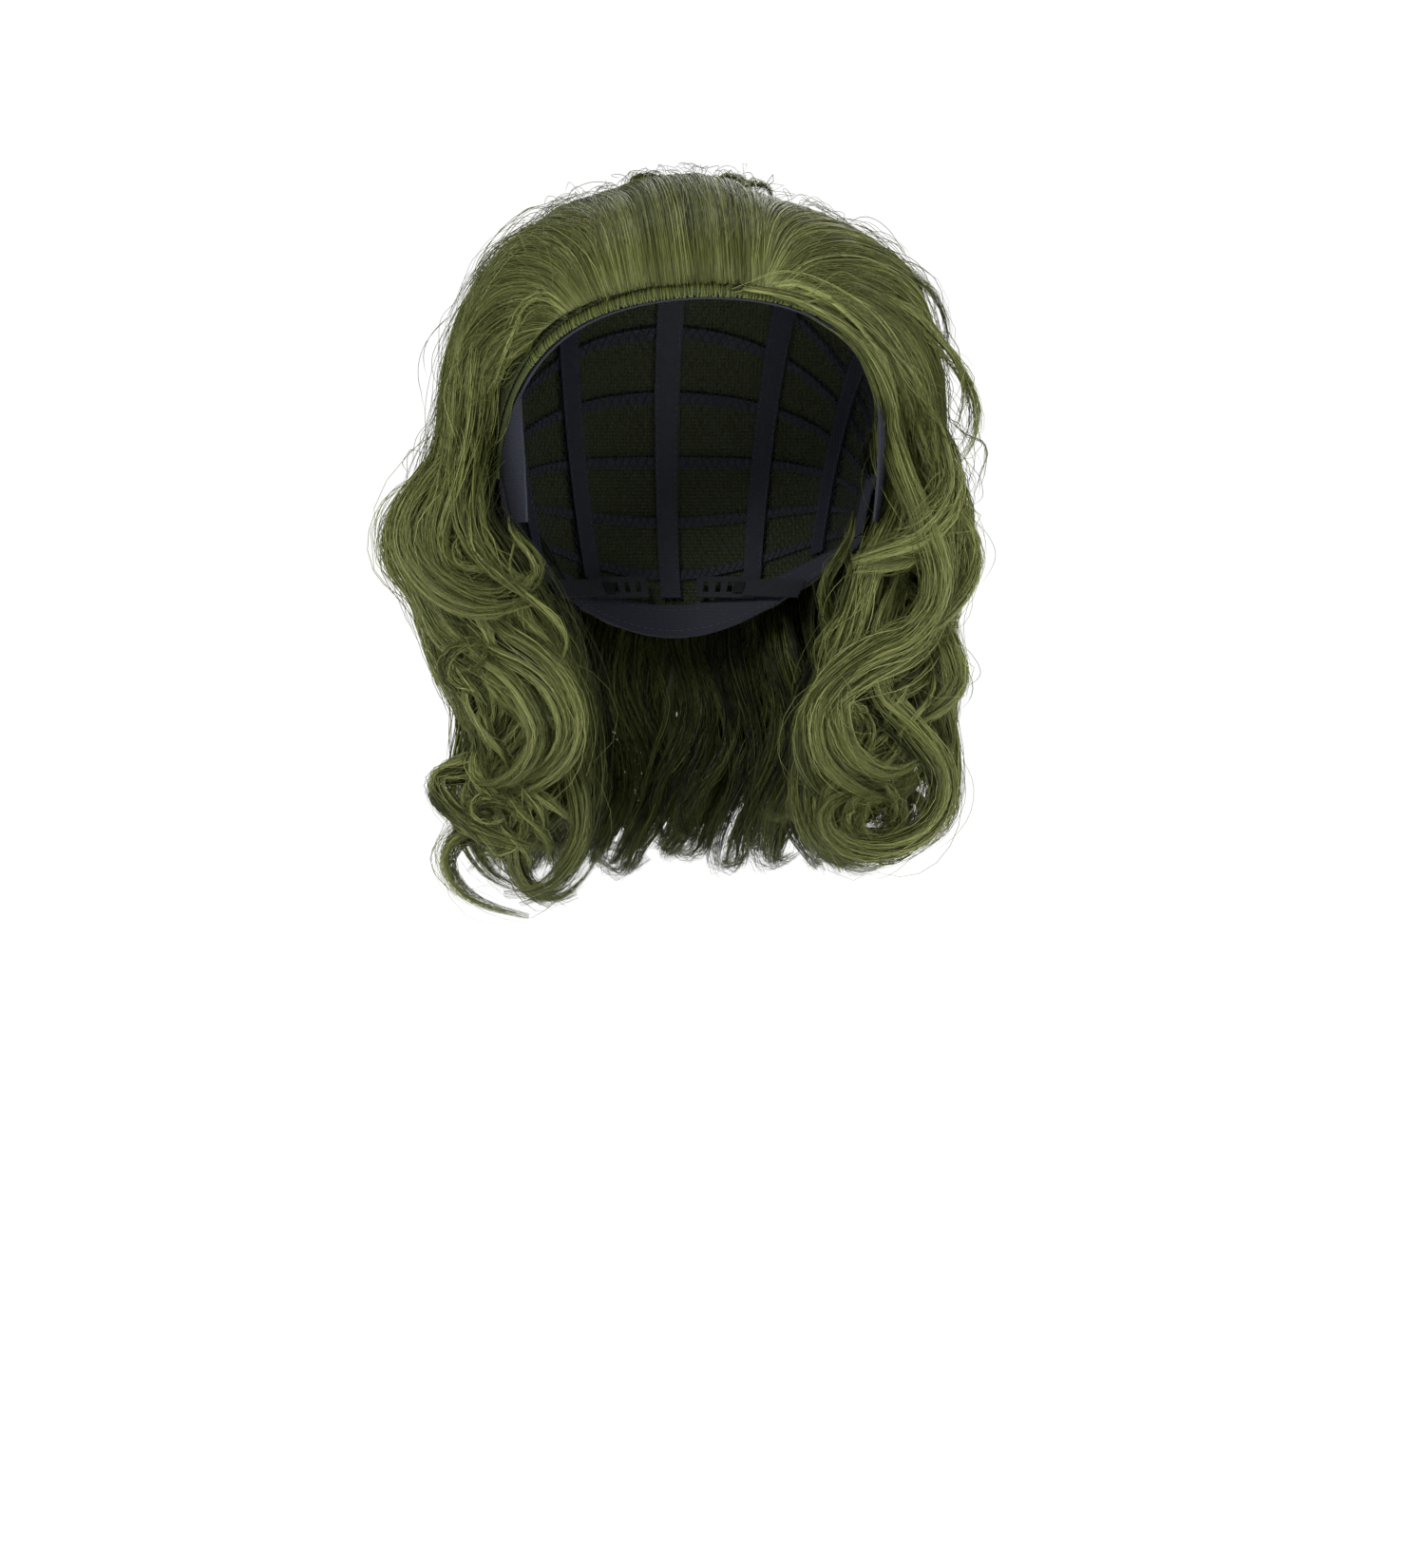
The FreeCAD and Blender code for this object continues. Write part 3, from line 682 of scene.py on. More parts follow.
# ---------------------------------------------------------------- the curls at the sides
# Each lock: over the head through (beside, above), hanging through (beside, y, above), half width,
# half depth, strands, tone. Beside and above are as the camera sees them, in mm.
RIGHT_LOCKS = [             # the wig's right, the viewer's left
    ("front", [(-33, -40), (-37, -13), (-48, -7.6), (-63, -9.5), (-82, -28), (-89, -60)],
     [(-93, -10, -95), (-104, -20, -115), (-110, -27, -134), (-106, -32, -151), (-90, -37, -161),
      (-66, -38, -157)],
     [1.5, 4.3, 7.7, 10.3, 11.2, 9.5, 6.9, 2.1], [1.5, 3, 5, 7, 8, 7, 5, 2], 330, 0.56),
    ("front", [(-44.5, -43.7), (-50, -20), (-63, -14), (-79, -30), (-93, -63)],
     [(-96, -16, -92), (-98, -28, -116), (-101, -35, -134), (-97, -40, -149), (-80, -42, -154),
      (-66, -40, -147)],
     [1.5, 3.4, 6, 8.6, 8.6, 7.7, 5.2, 2], [1.5, 3, 4, 6, 7, 6, 4, 2], 260, 0.50),
    ("front", [(-48, -45.6), (-60, -42), (-75, -55), (-84, -70), (-89, -89)],
     [(-91, -30, -110), (-89, -38, -129), (-80, -43, -144), (-69, -43, -155)],
     [1, 2.6, 4.3, 5.2, 6, 5.2, 3.4, 1.5], [1, 2, 3, 4, 5, 4, 3, 1.5], 170, 0.54),
    ("front", [(-90, -40), (-97, -75)],
     [(-104, -8, -105), (-112, -14, -130), (-109, -20, -150), (-106, -26, -168), (-95, -32, -178),
      (-79, -35, -189), (-70, -36, -200), (-66, -36, -212), (-69, -35, -223), (-77, -33, -230),
      (-88, -30, -230)],
     [1.6, 4.3, 5.7, 6.3, 6.3, 5.7, 4.3, 1.6], [2, 4, 6, 7, 7, 6, 5, 2], 250, 0.48),
    ("front", [(-88, -50), (-94, -85)],
     [(-98, -14, -110), (-104, -18, -138), (-98, -24, -160), (-82, -31, -175), (-66, -36, -184),
      (-56, -38, -195), (-52, -38, -209), (-56, -36, -222), (-66, -34, -231), (-78, -32, -234),
      (-88, -30, -231)],
     [1.6, 3.5, 4.9, 5.7, 6.3, 5.7, 4.3, 1.6], [2, 4, 6, 7, 7, 6, 5, 2], 250, 0.51),
    ("middle", [(-94, -55), (-100, -90)],
     [(-108, -4, -115), (-116, -6, -138), (-112, -8, -155), (-112, -10, -170), (-107, -12, -186),
      (-98, -14, -200), (-94, -14, -210), (-87, -14, -214), (-79, -13, -211)],
     [2, 4.3, 6.9, 7.7, 7.7, 6.9, 5.2, 2.6], [2, 5, 7, 8, 8, 7, 5, 2], 230, 0.50),
    ("middle", [(-92, -70)],
     [(-96, -2, -110), (-94, -6, -140), (-76, -10, -165), (-63, -14, -185), (-60, -18, -206),
      (-74, -22, -219), (-90, -24, -222), (-103, -24, -229), (-97, -26, -238), (-88, -27, -246),
      (-75, -28, -252), (-58, -28, -257)],
     [2, 5.2, 6.9, 6.9, 6, 5.2, 4.3, 1.5], [2, 5, 7, 7, 6, 5, 4, 1.5], 220, 0.53),
    ("middle", [(-90, -75)],
     [(-90, 4, -115), (-80, 2, -150), (-58, 0, -180), (-48, -4, -212), (-50, -8, -234), (-63, -12, -247),
      (-80, -14, -246), (-94, -14, -252), (-98, -14, -262), (-92, -16, -273), (-80, -17, -280),
      (-64, -18, -284)],
     [2, 5.2, 6.9, 6.9, 6, 5.2, 4.3, 1.2], [2, 5, 6, 7, 6, 5, 4, 1.2], 210, 0.50),
    ("middle", [(-92, -80)],
     [(-88, 8, -120), (-74, 6, -160), (-60, 4, -200), (-60, 0, -230), (-69, -4, -250), (-67, -8, -268),
      (-56, -11, -275), (-44, -12, -268), (-38, -11, -257)],
     [2, 5.2, 6.9, 6.9, 6, 5.2, 4.3, 2], [2, 5, 6, 7, 6, 5, 4, 2], 190, 0.48),
    # The rear locks take darker tones the farther back they hang, down to 0.16: painted shade.
    ("rear", [(-98, -80)],
     [(-104, 18, -110), (-110, 20, -134), (-104, 22, -158), (-106, 22, -180), (-96, 24, -204),
      (-92, 24, -228), (-90, 22, -250), (-80, 18, -268), (-62, 14, -276)],
     [2.6, 6, 8.6, 9.5, 8.6, 7.7, 6, 2.6], [3, 6, 8, 9, 8, 7, 5, 2], 210, 0.40),
    ("rear", [(-90, -85)],
     [(-94, 30, -115), (-90, 34, -145), (-76, 36, -175), (-58, 34, -205), (-60, 30, -232), (-72, 26, -250),
      (-70, 22, -268), (-58, 18, -279), (-46, 16, -276)],
     [2.6, 6.9, 9.5, 10.3, 9.5, 7.7, 6, 2.6], [3, 6, 8, 9, 8, 7, 5, 2], 220, 0.34),
    ("rear", [(-84, -88)],
     [(-88, 38, -118), (-80, 44, -145), (-64, 46, -172), (-47, 42, -200), (-43, 34, -228), (-46, 26, -250),
      (-44, 20, -264)],
     [2.6, 6, 7.7, 7.7, 6.9, 6, 5.2, 2.6], [3, 6, 8, 8, 8, 7, 5, 2], 220, 0.16),
    # along the neck and round its foot
    ("middle", [(-90, -85)],
     [(-86, 14, -120), (-66, 16, -160), (-48, 12, -195), (-41, 8, -225), (-41, 2, -248), (-47, -4, -264),
      (-57, -8, -275), (-68, -10, -279)],
     [3, 7, 8, 8, 8, 7, 5, 2], [3, 6, 7, 7, 6, 5, 4, 2], 280, 0.30),
    ("front", [(-92, -85)],
     [(-96, -8, -120), (-88, -16, -160), (-66, -20, -195), (-50, -22, -225), (-44, -22, -247),
      (-50, -22, -263), (-61, -22, -273), (-74, -22, -274)],
     [2, 6, 7, 7, 7, 6, 4, 1.5], [2, 5, 6, 6, 5, 4, 3, 1.5], 230, 0.44),
    ("middle", [(-92, -85)],
     [(-102, -4, -120), (-106, -4, -150), (-98, -6, -176), (-84, -8, -198), (-80, -8, -222), (-86, -8, -240),
      (-78, -8, -254), (-64, -10, -262)],
     [3, 7, 8, 8, 7, 6, 5, 2], [3, 6, 6, 6, 5, 4, 3, 2], 220, 0.36),
]
LEFT_LOCKS = [              # the wig's left, the viewer's right
    # The first front locks here take lighter tones than those on the wig's right: painted highlights.
    ("front", [(16, -36), (39, -28), (66, -40), (85, -59), (99, -84)],
     [(104, -18, -103), (106, -24, -120), (114, -28, -128), (119, -30, -141), (115, -32, -154),
      (105, -33, -166), (96, -34, -172)],
     [4, 6, 8, 8, 6.5, 4.5, 3.8, 2], [1.5, 3, 4, 5, 5, 5, 4, 2], 300, 0.64),
    ("front", [(28, -39), (50, -40), (66, -51), (76, -70), (83, -90)],
     [(90, -34, -113), (99, -38, -130), (104, -40, -146), (101, -41, -162), (91, -42, -176), (70, -41, -187),
      (55, -40, -200), (54, -38, -215), (63, -37, -227), (79, -36, -234), (94, -34, -229)],
     [1.5, 5.2, 6.9, 6.9, 7.7, 7.7, 6, 2], [1.5, 3, 4, 5, 6, 6, 5, 2], 320, 0.62),
    ("front", [(90, -62), (99, -85)],
     [(105, -24, -104), (106, -36, -119), (93, -44, -136), (67, -46, -143)],
     [3, 5, 7, 8, 8, 7.5, 6.5, 4], [2, 3, 4, 5, 5, 4, 3, 1.5], 300, 0.64),
    ("front", [(96, -75)],
     [(103, -20, -110), (108, -24, -135), (108, -28, -152), (102, -32, -167), (88, -37, -178),
      (70, -40, -177), (58, -40, -183)],
     [2, 5.2, 6, 6, 6, 5.2, 3.4, 1.5], [2, 4, 5, 6, 6, 5, 3, 1.5], 180, 0.60),
    ("front", [(94, -80)],
     [(100, -10, -112), (104, -14, -140), (102, -20, -164), (109, -26, -180), (112, -30, -191),
      (103, -33, -202), (90, -35, -208)],
     [2, 5.2, 6, 6, 5.2, 4.3, 3.4, 1.5], [2, 4, 5, 6, 5, 5, 4, 1.5], 170, 0.57),
    ("front", [(88, -80)],
     [(92, -14, -115), (88, -22, -145), (76, -28, -172), (78, -32, -194), (91, -36, -208), (103, -37, -224),
      (104, -37, -238), (95, -38, -250), (78, -39, -257), (62, -39, -255), (54, -38, -246), (59, -37, -237),
      (74, -36, -233)],
     [2, 5, 6, 6, 5.5, 4.8, 4, 2], [2, 4, 5, 6, 6, 5, 4, 2], 230, 0.52),
    ("front", [(84, -84)],
     [(84, -24, -118), (74, -32, -150), (66, -38, -176), (60, -40, -200), (66, -39, -218), (82, -38, -226),
      (95, -37, -221)],
     [2, 4.3, 6, 6.9, 6.9, 6, 4.3, 2], [2, 4, 5, 6, 6, 5, 4, 2], 220, 0.54),
    ("middle", [(100, -80)],
     [(104, 0, -106), (107, -2, -130), (104, -6, -155), (100, -10, -178), (105, -12, -200), (109, -14, -219),
      (108, -15, -240), (101, -15, -253), (88, -14, -259)],
     [2, 5.2, 7.7, 7.7, 6.9, 6, 5.2, 2], [2, 5, 7, 8, 7, 6, 5, 2], 230, 0.54),
    ("middle", [(86, -85)],
     [(88, -2, -120), (80, -6, -155), (62, -10, -185), (52, -14, -215), (48, -15, -240), (56, -16, -257),
      (72, -16, -264), (88, -14, -259)],
     [2, 6, 7.7, 7.7, 6.9, 6, 4.3, 2], [2, 5, 7, 8, 7, 6, 4, 2], 220, 0.50),
    ("middle", [(92, -85)],
     [(96, 6, -120), (92, 4, -150), (82, 2, -180), (80, 0, -205), (90, -2, -228), (86, -4, -245),
      (72, -6, -252)],
     [2.6, 6.9, 8.6, 8.6, 7.7, 6.9, 5.2, 2.6], [3, 6, 8, 8, 7, 6, 5, 2], 200, 0.46),
    # The rear locks take darker tones the farther back they hang, down to 0.16: painted shade.
    ("rear", [(98, -85)],
     [(104, 22, -112), (108, 26, -138), (104, 28, -165), (106, 28, -190), (104, 28, -215), (102, 26, -238),
      (90, 22, -252)],
     [2.6, 6.9, 8.6, 9.5, 8.6, 7.7, 6, 2.6], [3, 6, 8, 9, 8, 7, 5, 2], 210, 0.42),
    ("rear", [(90, -88)],
     [(94, 32, -116), (90, 34, -145), (79, 36, -175), (70, 34, -205), (74, 32, -232), (66, 28, -252),
      (54, 24, -256)],
     [2.6, 6.9, 9.5, 10.3, 9.5, 7.7, 6, 2.6], [3, 6, 8, 9, 8, 7, 5, 2], 220, 0.36),
    ("rear", [(84, -90)],
     [(88, 38, -118), (80, 44, -145), (66, 46, -172), (52, 42, -200), (50, 32, -228), (54, 28, -250)],
     [2.6, 6, 7.7, 7.7, 6.9, 6, 5.2, 2.6], [3, 6, 8, 8, 8, 7, 5, 2], 230, 0.16),
    # inside the lowest ring
    ("middle", [(94, -85)],
     [(100, 2, -120), (102, -4, -160), (96, -12, -195), (84, -18, -218), (66, -22, -229), (58, -24, -240),
      (66, -25, -251), (82, -25, -253), (94, -24, -245), (92, -24, -235), (80, -24, -232)],
     [3, 7, 7, 7, 7, 6, 5, 2], [3, 5, 6, 6, 5, 4, 4, 2], 300, 0.42),
    ("middle", [(88, -85)],
     [(88, 8, -120), (76, 4, -160), (60, 0, -195), (50, -6, -220), (47, -10, -242), (56, -12, -254),
      (70, -12, -258)],
     [3, 7, 8, 8, 8, 7, 5, 2], [3, 6, 7, 7, 6, 5, 4, 2], 240, 0.34),
    ("front", [(96, -85)],
     [(102, -18, -118), (104, -24, -148), (98, -30, -170), (78, -36, -180), (60, -38, -192), (50, -36, -206),
      (50, -32, -222), (60, -30, -236), (72, -28, -244)],
     [2, 6, 7, 7, 8, 8, 6, 3], [2, 4, 5, 5, 5, 5, 4, 2], 230, 0.48),
]
# Small locks that leave the outline: over the head, hanging, half width, strands.
RIGHT_WISPS = [
    ([(-86, -28), (-97, -60)],
     [(-99, 0, -95), (-110, 0, -110), (-119, 0, -128), (-117, 0, -146), (-108, -4, -158)], 2.5, 50),
    ([(-80, -20), (-95, -44)], [(-99, 4, -84), (-104, 4, -100), (-113, 2, -116), (-118, 2, -132)], 2.5, 40),
    ([(-97, -80)], [(-112, -6, -140), (-116, -8, -160), (-116, -8, -176), (-111, -8, -192)], 2.5, 34),
    ([(-95, -90)], [(-90, 0, -200), (-98, -8, -222), (-104, -10, -231), (-98, -10, -240)], 2.0, 30),
    ([(-90, -90)], [(-80, 4, -220), (-81, 5, -256), (-79, 5, -268), (-72, 4, -279)], 1.4, 26),
    ([(-94, -70)], [(-84, -36, -112), (-80, -42, -132), (-72, -44, -146), (-62, -43, -152)], 1.6, 22),
    ([(-94, -80)], [(-88, -36, -120), (-86, -42, -138), (-76, -44, -150), (-66, -44, -160)], 1.4, 18),
]
LEFT_WISPS = [
    ([(24, -17), (47, -3), (66, -11), (88, -24)],
     [(100, -4, -34), (106, -4, -48), (105, -6, -62), (100, -8, -80)], 2.8, 80),
    ([(60, -28), (85, -40)],
     [(106, -6, -62), (114, -8, -77), (114, -12, -91), (107, -16, -104), (100, -20, -116)], 3.0, 90),
    ([(50, -20), (80, -28), (99, -48)], [(108, -6, -66), (109, -8, -82), (103, -10, -96)], 2.2, 60),
    ([(100, -75)], [(108, -8, -100), (116, -14, -122), (121, -18, -140), (117, -20, -158)], 2.0, 30),
    ([(98, -80)], [(104, -24, -170), (112, -26, -184), (112, -28, -194), (101, -30, -203)], 2.2, 36),
    ([(98, -85)], [(106, -10, -200), (111, -12, -222), (109, -14, -242), (98, -14, -258)], 2.2, 40),
    ([(96, -84)],
     [(93, -32, -120), (84, -34, -160), (66, -31, -205), (57, -30, -240), (60, -32, -260), (76, -32, -266),
      (92, -30, -256)], 2.0, 36),
    ([(104, -80)], [(110, 0, -92), (118, 0, -97), (117, -4, -112), (114, -8, -122)], 0.6, 6),
]


CROWN_CURLS = ((-24, 5, 1), (-14, 8, -1), (12, 8, 1), (20, 5, 1))       # beside, above, lean
TEMPLE_FOLD = [(-48, -43), (-57, -37), (-66, -41), (-70, -50), (-75, -62), (-83, -82)]
SWEPT_STARTS = ((32, -36), (44, -33), (56, -37))


def small_curls():
    """Short curls on the crown, the lock folded back at one temple and the locks swept over the other."""
    for x, z, lean in CROWN_CURLS:
        rise = random.uniform(3.0, 5.0)
        points = [(x - 5 * lean, 4, z - 4), (x, 6, z + rise * 0.7), (x + 6 * lean, 9, z + rise),
                  (x + 11 * lean, 12, z + rise * 0.4), (x + 12 * lean, 15, z - 4)]
        lock("top_centre", hung(points), [1, 3, 3, 2, 1], [0.6, 1.2, 1.2, 0.6], 60, 0.44,
             ends=(0.7, 1.0), frizz=1.0, fill=False, stray=0.1, radius=0.15)
    lock("top_right", laid(TEMPLE_FOLD), [2, 4, 4, 4, 5, 2], [0.8, 1.5, 2, 2, 2, 1], 150, 0.58, fill=False)
    for x, z in SWEPT_STARTS:
        swept = laid([(x - 12, z - 1), (x, z), (x + 13, z - 6), (x + 24, z - 18), (x + 30, z - 36),
                      (min(x + 40, 100), z - 58)])
        # The swept locks take a light tone: painted highlights.
        lock("top_left", swept, [2, 4, 5, 4, 3, 2], [0.8, 1.5, 2, 2, 2, 1], 110, 0.64, fill=False)


STRANDS_PER_MM = 34             # of half width, in a small lock
RINGLETS = 22
FULL_TURN = 6.28


def ringlets(side, sign, foot, count):
    """Thin spiralling locks that cross the larger ones."""
    for number in range(count):
        x = sign * random.uniform(64, 104)
        start = -118 - 92 * (number + random.random()) / count
        end = max(start - random.uniform(48, 85), foot)
        turn, radius = random.uniform(0, FULL_TURN), random.uniform(5.5, 10.0)
        drift = -sign * random.uniform(2, 18)
        spiral = []
        for share in np.linspace(0, 1, 13):
            grow = radius * min(1.0, 0.25 + 1.6 * share) * (1 - 0.25 * share)
            spin = turn + sign * 9.5 * share
            spiral.append(hanging(x + drift * share + grow * math.sin(spin),
                                  -29 + 0.6 * grow * math.cos(spin), start + (end - start) * share))
        wide = random.uniform(1.6, 3.4)
        lock(f"{side}_curls_front", spiral, [0.8, wide, wide, wide, wide * 0.8, 0.8],
             [0.8, wide * 0.7, wide * 0.7, 0.8], int(STRANDS_PER_MM * wide), random.uniform(0.38, 0.62),
             ends=(0.75, 1.0), starts=(0.0, 0.3), frizz=0.9, stray=0.1, fill=False, radius=0.17)


def swirl(name, centre, radii, spin):
    """Loose rings of hair of several sizes round one middle, for the bottom of a ringlet."""
    for radius in radii:
        middle = [c + random.normal(0, 2.2) for c in centre]
        start, sweep = random.uniform(0, FULL_TURN), random.uniform(3.4, 5.4) * spin
        ring = []
        for share in np.linspace(0, 1, 9):
            reach = radius * (1 - 0.35 * share)
            angle = start + sweep * share
            ring.append(hanging(middle[0] + reach * math.cos(angle), middle[1] - 4 * share,
                                middle[2] + 0.85 * reach * math.sin(angle)))
        wide = random.uniform(1.5, 2.8)
        lock(name, ring, [0.8, wide, wide, 0.8], [0.8, wide * 0.7, 0.8], int(STRANDS_PER_MM * wide),
             random.uniform(0.36, 0.60), ends=(0.7, 1.0), starts=(0.0, 0.3), frizz=0.9, stray=0.15,
             fill=False, radius=0.16)


def shaped_locks(side, locks):
    """The main locks, each with looser hair round it."""
    for place, top, below, wide, deep, count, tone in locks:
        front = place == "front"
        guide = laid(top, below, 0.96 if front else 0.9)
        wide, deep = np.array(wide), np.array(deep)
        if len(top) < 4:
            guide[0] -= away_from_axis(guide[0]) * 8.0      # it starts under the surface
        fall = smooth((-104 - guide[:, 2]) / 50)
        guide[:, 1] += 5.5 * fall * np.sin(guide[:, 2] / 14 + random.uniform(0, FULL_TURN))
        last_start = 0.30 if front and len(top) > 3 else 0.08
        name = f"{side}_curls_{place}"
        lock(name, guide, wide, deep, int(count * (1.2 if front else 1.0)), tone, starts=(0.0, last_start))
        lock(name, guide, wide * 1.35 + 0.5, deep * 1.3, int(count * 0.3), tone + 0.05, starts=(0.05, 0.45),
             ends=(0.6, 1.0), frizz=1.7, stray=0.2, clump=6, fill=False, radius=0.15)


FILLER_LOCKS = 16
FILLER_WIDTH, FILLER_DEPTH = [3, 7, 8, 8, 7, 6, 5, 2], [3, 6, 7, 7, 6, 5, 4, 2]


def filler_locks(side, sign, foot):
    """Waved locks behind the shaped ones, from in front of the ear to behind it."""
    for column in range(FILLER_LOCKS):
        x, y = sign * random.uniform(62, 96), -6 + 58 * (column + random.random()) / FILLER_LOCKS
        phase, swell = random.uniform(0, FULL_TURN), random.uniform(5, 9)
        end = foot + random.uniform(-3, 20)
        below = [(sign * 92, y * 0.8, -80)]
        for step in range(10):
            share = step / 9
            drawn = sign * 92 + (x - sign * 92) * smooth((share - 0.15) / 0.5)
            lean = -sign * 14 * smooth((share - 0.6) / 0.4)
            below.append((drawn + lean + swell * share ** 0.5 * math.sin(phase + 9.5 * share),
                          y + 6 * math.cos(phase + 9.5 * share), -104 + (end + 104) * share))
        last = below[-1]
        below.append((last[0] - sign * 11, last[1] - 4, last[2] + 5))
        name = "middle" if y < 15 else "rear"
        lock(f"{side}_curls_{name}", hung(below), FILLER_WIDTH, FILLER_DEPTH, 120, 0.38, ends=(0.8, 1.0),
             starts=(0.0, 0.15))


SWIRLS = (      # side, middle, radii, way round
    ("left", (79, -37, -243), (20, 17, 15, 12, 10, 18, 14, 8), -1),
    ("left", (99, -26, -142), (14, 12, 9, 7), -1),
    ("left", (64, -36, -206), (15, 12, 9), 1),
    ("right", (-78, -30, -244), (17, 14, 11, 9, 15), 1),
    ("right", (-95, -30, -183), (14, 12, 9, 7), -1),
    ("right", (-88, -34, -140), (15, 12, 10), 1),
)
SIDES = (       # name, sign of x, foot, shaped locks, wisps
    ("right", -1, -268, RIGHT_LOCKS, RIGHT_WISPS),
    ("left", 1, -254, LEFT_LOCKS, LEFT_WISPS),
)


def side_curls():
    for side, sign, foot, locks, _ in SIDES:
        shaped_locks(side, locks)
        filler_locks(side, sign, foot)
        ringlets(side, sign, foot, RINGLETS)
    for side, middle, radii, way_round in SWIRLS:
        swirl(f"{side}_curls_front", middle, radii, way_round)
    for side, _, _, _, wisps in SIDES:
        for top, below, wide, count in wisps:
            guide = laid(top, below)
            guide[0] -= away_from_axis(guide[0]) * 5.0
            lock(f"{side}_wisps", guide, [wide * 0.7, wide * 1.3, wide * 1.2, wide * 0.7],
                 [wide * 0.6, wide * 0.8], count, 0.54, ends=(0.6, 1.0), starts=(0.0, 0.3), frizz=1.1,
                 fill=False, stray=0.15, radius=0.16)


# ---------------------------------------------------------------- the curls behind
COLUMNS = 15
BACK_HALF_WIDTH = 66.0
BACK_WIDTH = [2, 6, 8, 9, 9, 8, 8, 6, 5, 2]


def back_curls():
    """Waved locks under the nape in two layers; neighbours wave nearly together."""
    # The inner layer, and the locks brought forward from it, take darker tones: painted shade.
    for layer, (out, tone, count) in enumerate(((0, 0.46, 190), (-15, 0.30, 130))):
        for column in range(COLUMNS):
            middle = -BACK_HALF_WIDTH + 2 * BACK_HALF_WIDTH * column / (COLUMNS - 1) + random.uniform(-2, 2)
            bow = middle * middle / 300.0
            phase = 0.2 * column + 1.5 * layer + random.uniform(-0.9, 0.9)
            swell = random.uniform(8.0, 12.0)
            foot = -264.0 + random.uniform(-9, 5)
            points = [(middle * 1.05, 112 - bow * 0.85 + out * 0.3, -112),
                      (middle * 1.02, 112 - bow + out * 0.35, -130)]
            for step in range(11):
                share = step / 10
                turn = phase + 8.5 * share
                reach = 109 - bow + out * min(1.0, 0.4 + 1.5 * share) - 18 * max(0.0, share - 0.6) ** 1.2
                points.append((middle + swell * share ** 0.7 * math.sin(turn),
                               reach + 5 * share * math.cos(turn), -146.0 + (foot + 146.0) * share))
            points.append((points[-1][0] + random.choice([-9, 9]), points[-1][1] - 6, points[-1][2] + 5))
            if abs(middle) > 40 and layer:
                forward = [(p[0] * 1.04, p[1] - 24 * smooth((-150 - p[2]) / 38), p[2] + 4) for p in points]
                lock("back_curls", forward, BACK_WIDTH, [2, 5, 7, 8, 8, 7, 5, 2], count, 0.22, fill=False)
            lock("back_curls", points, BACK_WIDTH, [1, 2, 4, 6, 7, 7, 6, 5, 4, 2], count, tone,
                 starts=(0.0, 0.35), frizz=0.8, fill=not layer)


def behind_ears():
    """Locks from behind each ear that close the view between the side curls and the back."""
    for sign in (-1, 1):
        for inward, back, count in ((0, 0, 170), (9, 9, 150)):
            points = [(90 - inward * 0.4, 46 + back, -104), (80 - inward * 0.6, 50 + back, -128),
                      (71 - inward, 52 + back, -146), (66 - inward, 54 + back, -166),
                      (68 - inward, 56 + back, -190), (72 - inward, 53 + back, -214),
                      (66 - inward, 50 + back, -236), (70 - inward, 46 + back, -254)]
            # A dark tone here: painted shade behind the ears.
            lock("back_fall", hung([(sign * x, y, z) for x, y, z in points]), [3, 6, 8, 8, 8, 7, 6, 3],
                 [3, 5, 6, 6, 6, 5, 4, 2], count, 0.30, ends=(0.75, 1.0), starts=(0.0, 0.15), frizz=0.9)


def behind_neck():
    """Two locks in a dark tone, painted shade, that close the view through the middle of the back."""
    for x in (-9, 4):
        points = [(x, 103, -128), (x - 2, 100, -155), (x + 2, 98, -180), (x - 2, 96, -205), (x + 2, 93, -230),
                  (x - 3, 88, -254)]
        lock("back_curls", hung(points), [2, 6, 8, 8, 7, 3], [2, 4, 5, 5, 4, 2], 150, 0.26, ends=(0.75, 1.0),
             frizz=0.9)


STRAY_RADIUS, HIGHEST_STRAY = 0.12, 9.0


def stray_hairs():
    """Single hairs that lift off the top and the curls."""
    lines = [(f"{side}_wisps", curve(laid(top, below)))
             for side, _, _, locks, _ in SIDES for _, top, below, *_ in locks]
    lines += [("top_right", curve(route(s))) for s in FOUNTAIN_LINES]
    lines += [("top_left", curve(route(s))) for s in SWEEP_LINES]
    lines += [("top_centre", curve(route(s))) for s in CENTRE_LINES]
    stations = 16
    steps = np.linspace(0, 1, stations)
    for name, line in lines:
        beside = name.endswith("wisps")
        count = 26 if beside else 34
        out, along = away_from_axis(line), unit(np.gradient(line, axis=0))
        side = unit(np.cross(out, along))
        start = random.uniform(0.05, 0.75, (count, 1))
        at = np.clip(start + random.uniform(0.12, 0.30, (count, 1)) * steps, 0, 1)
        lift = random.gamma(2.0, 1.7 if beside else 0.9, (count, 1))
        lift = np.minimum(lift, HIGHEST_STRAY) * np.sin(np.pi * 0.85 * steps)
        drift = wander(count, at, 5.0, 2.2)
        offset = random.normal(0, 5.0, (count, 1))
        aside = offset + drift[..., 1] * 1.4 + lift * random.normal(0, 0.8, (count, 1))
        outward = np.abs(lift) + np.abs(drift[..., 0]) * 0.5 + 0.5
        paths = read(line, at) + read(out, at) * outward[..., None] + read(side, at) * aside[..., None]
        tones = np.full((count, stations), 0.5) + random.normal(0, 0.08, (count, 1))
        add_strands(name, paths, tones, STRAY_RADIUS)


# ---------------------------------------------------------------- the cap
WEAVE_UNEVENNESS, WEAVE_STRENGTH = 0.6, 0.7


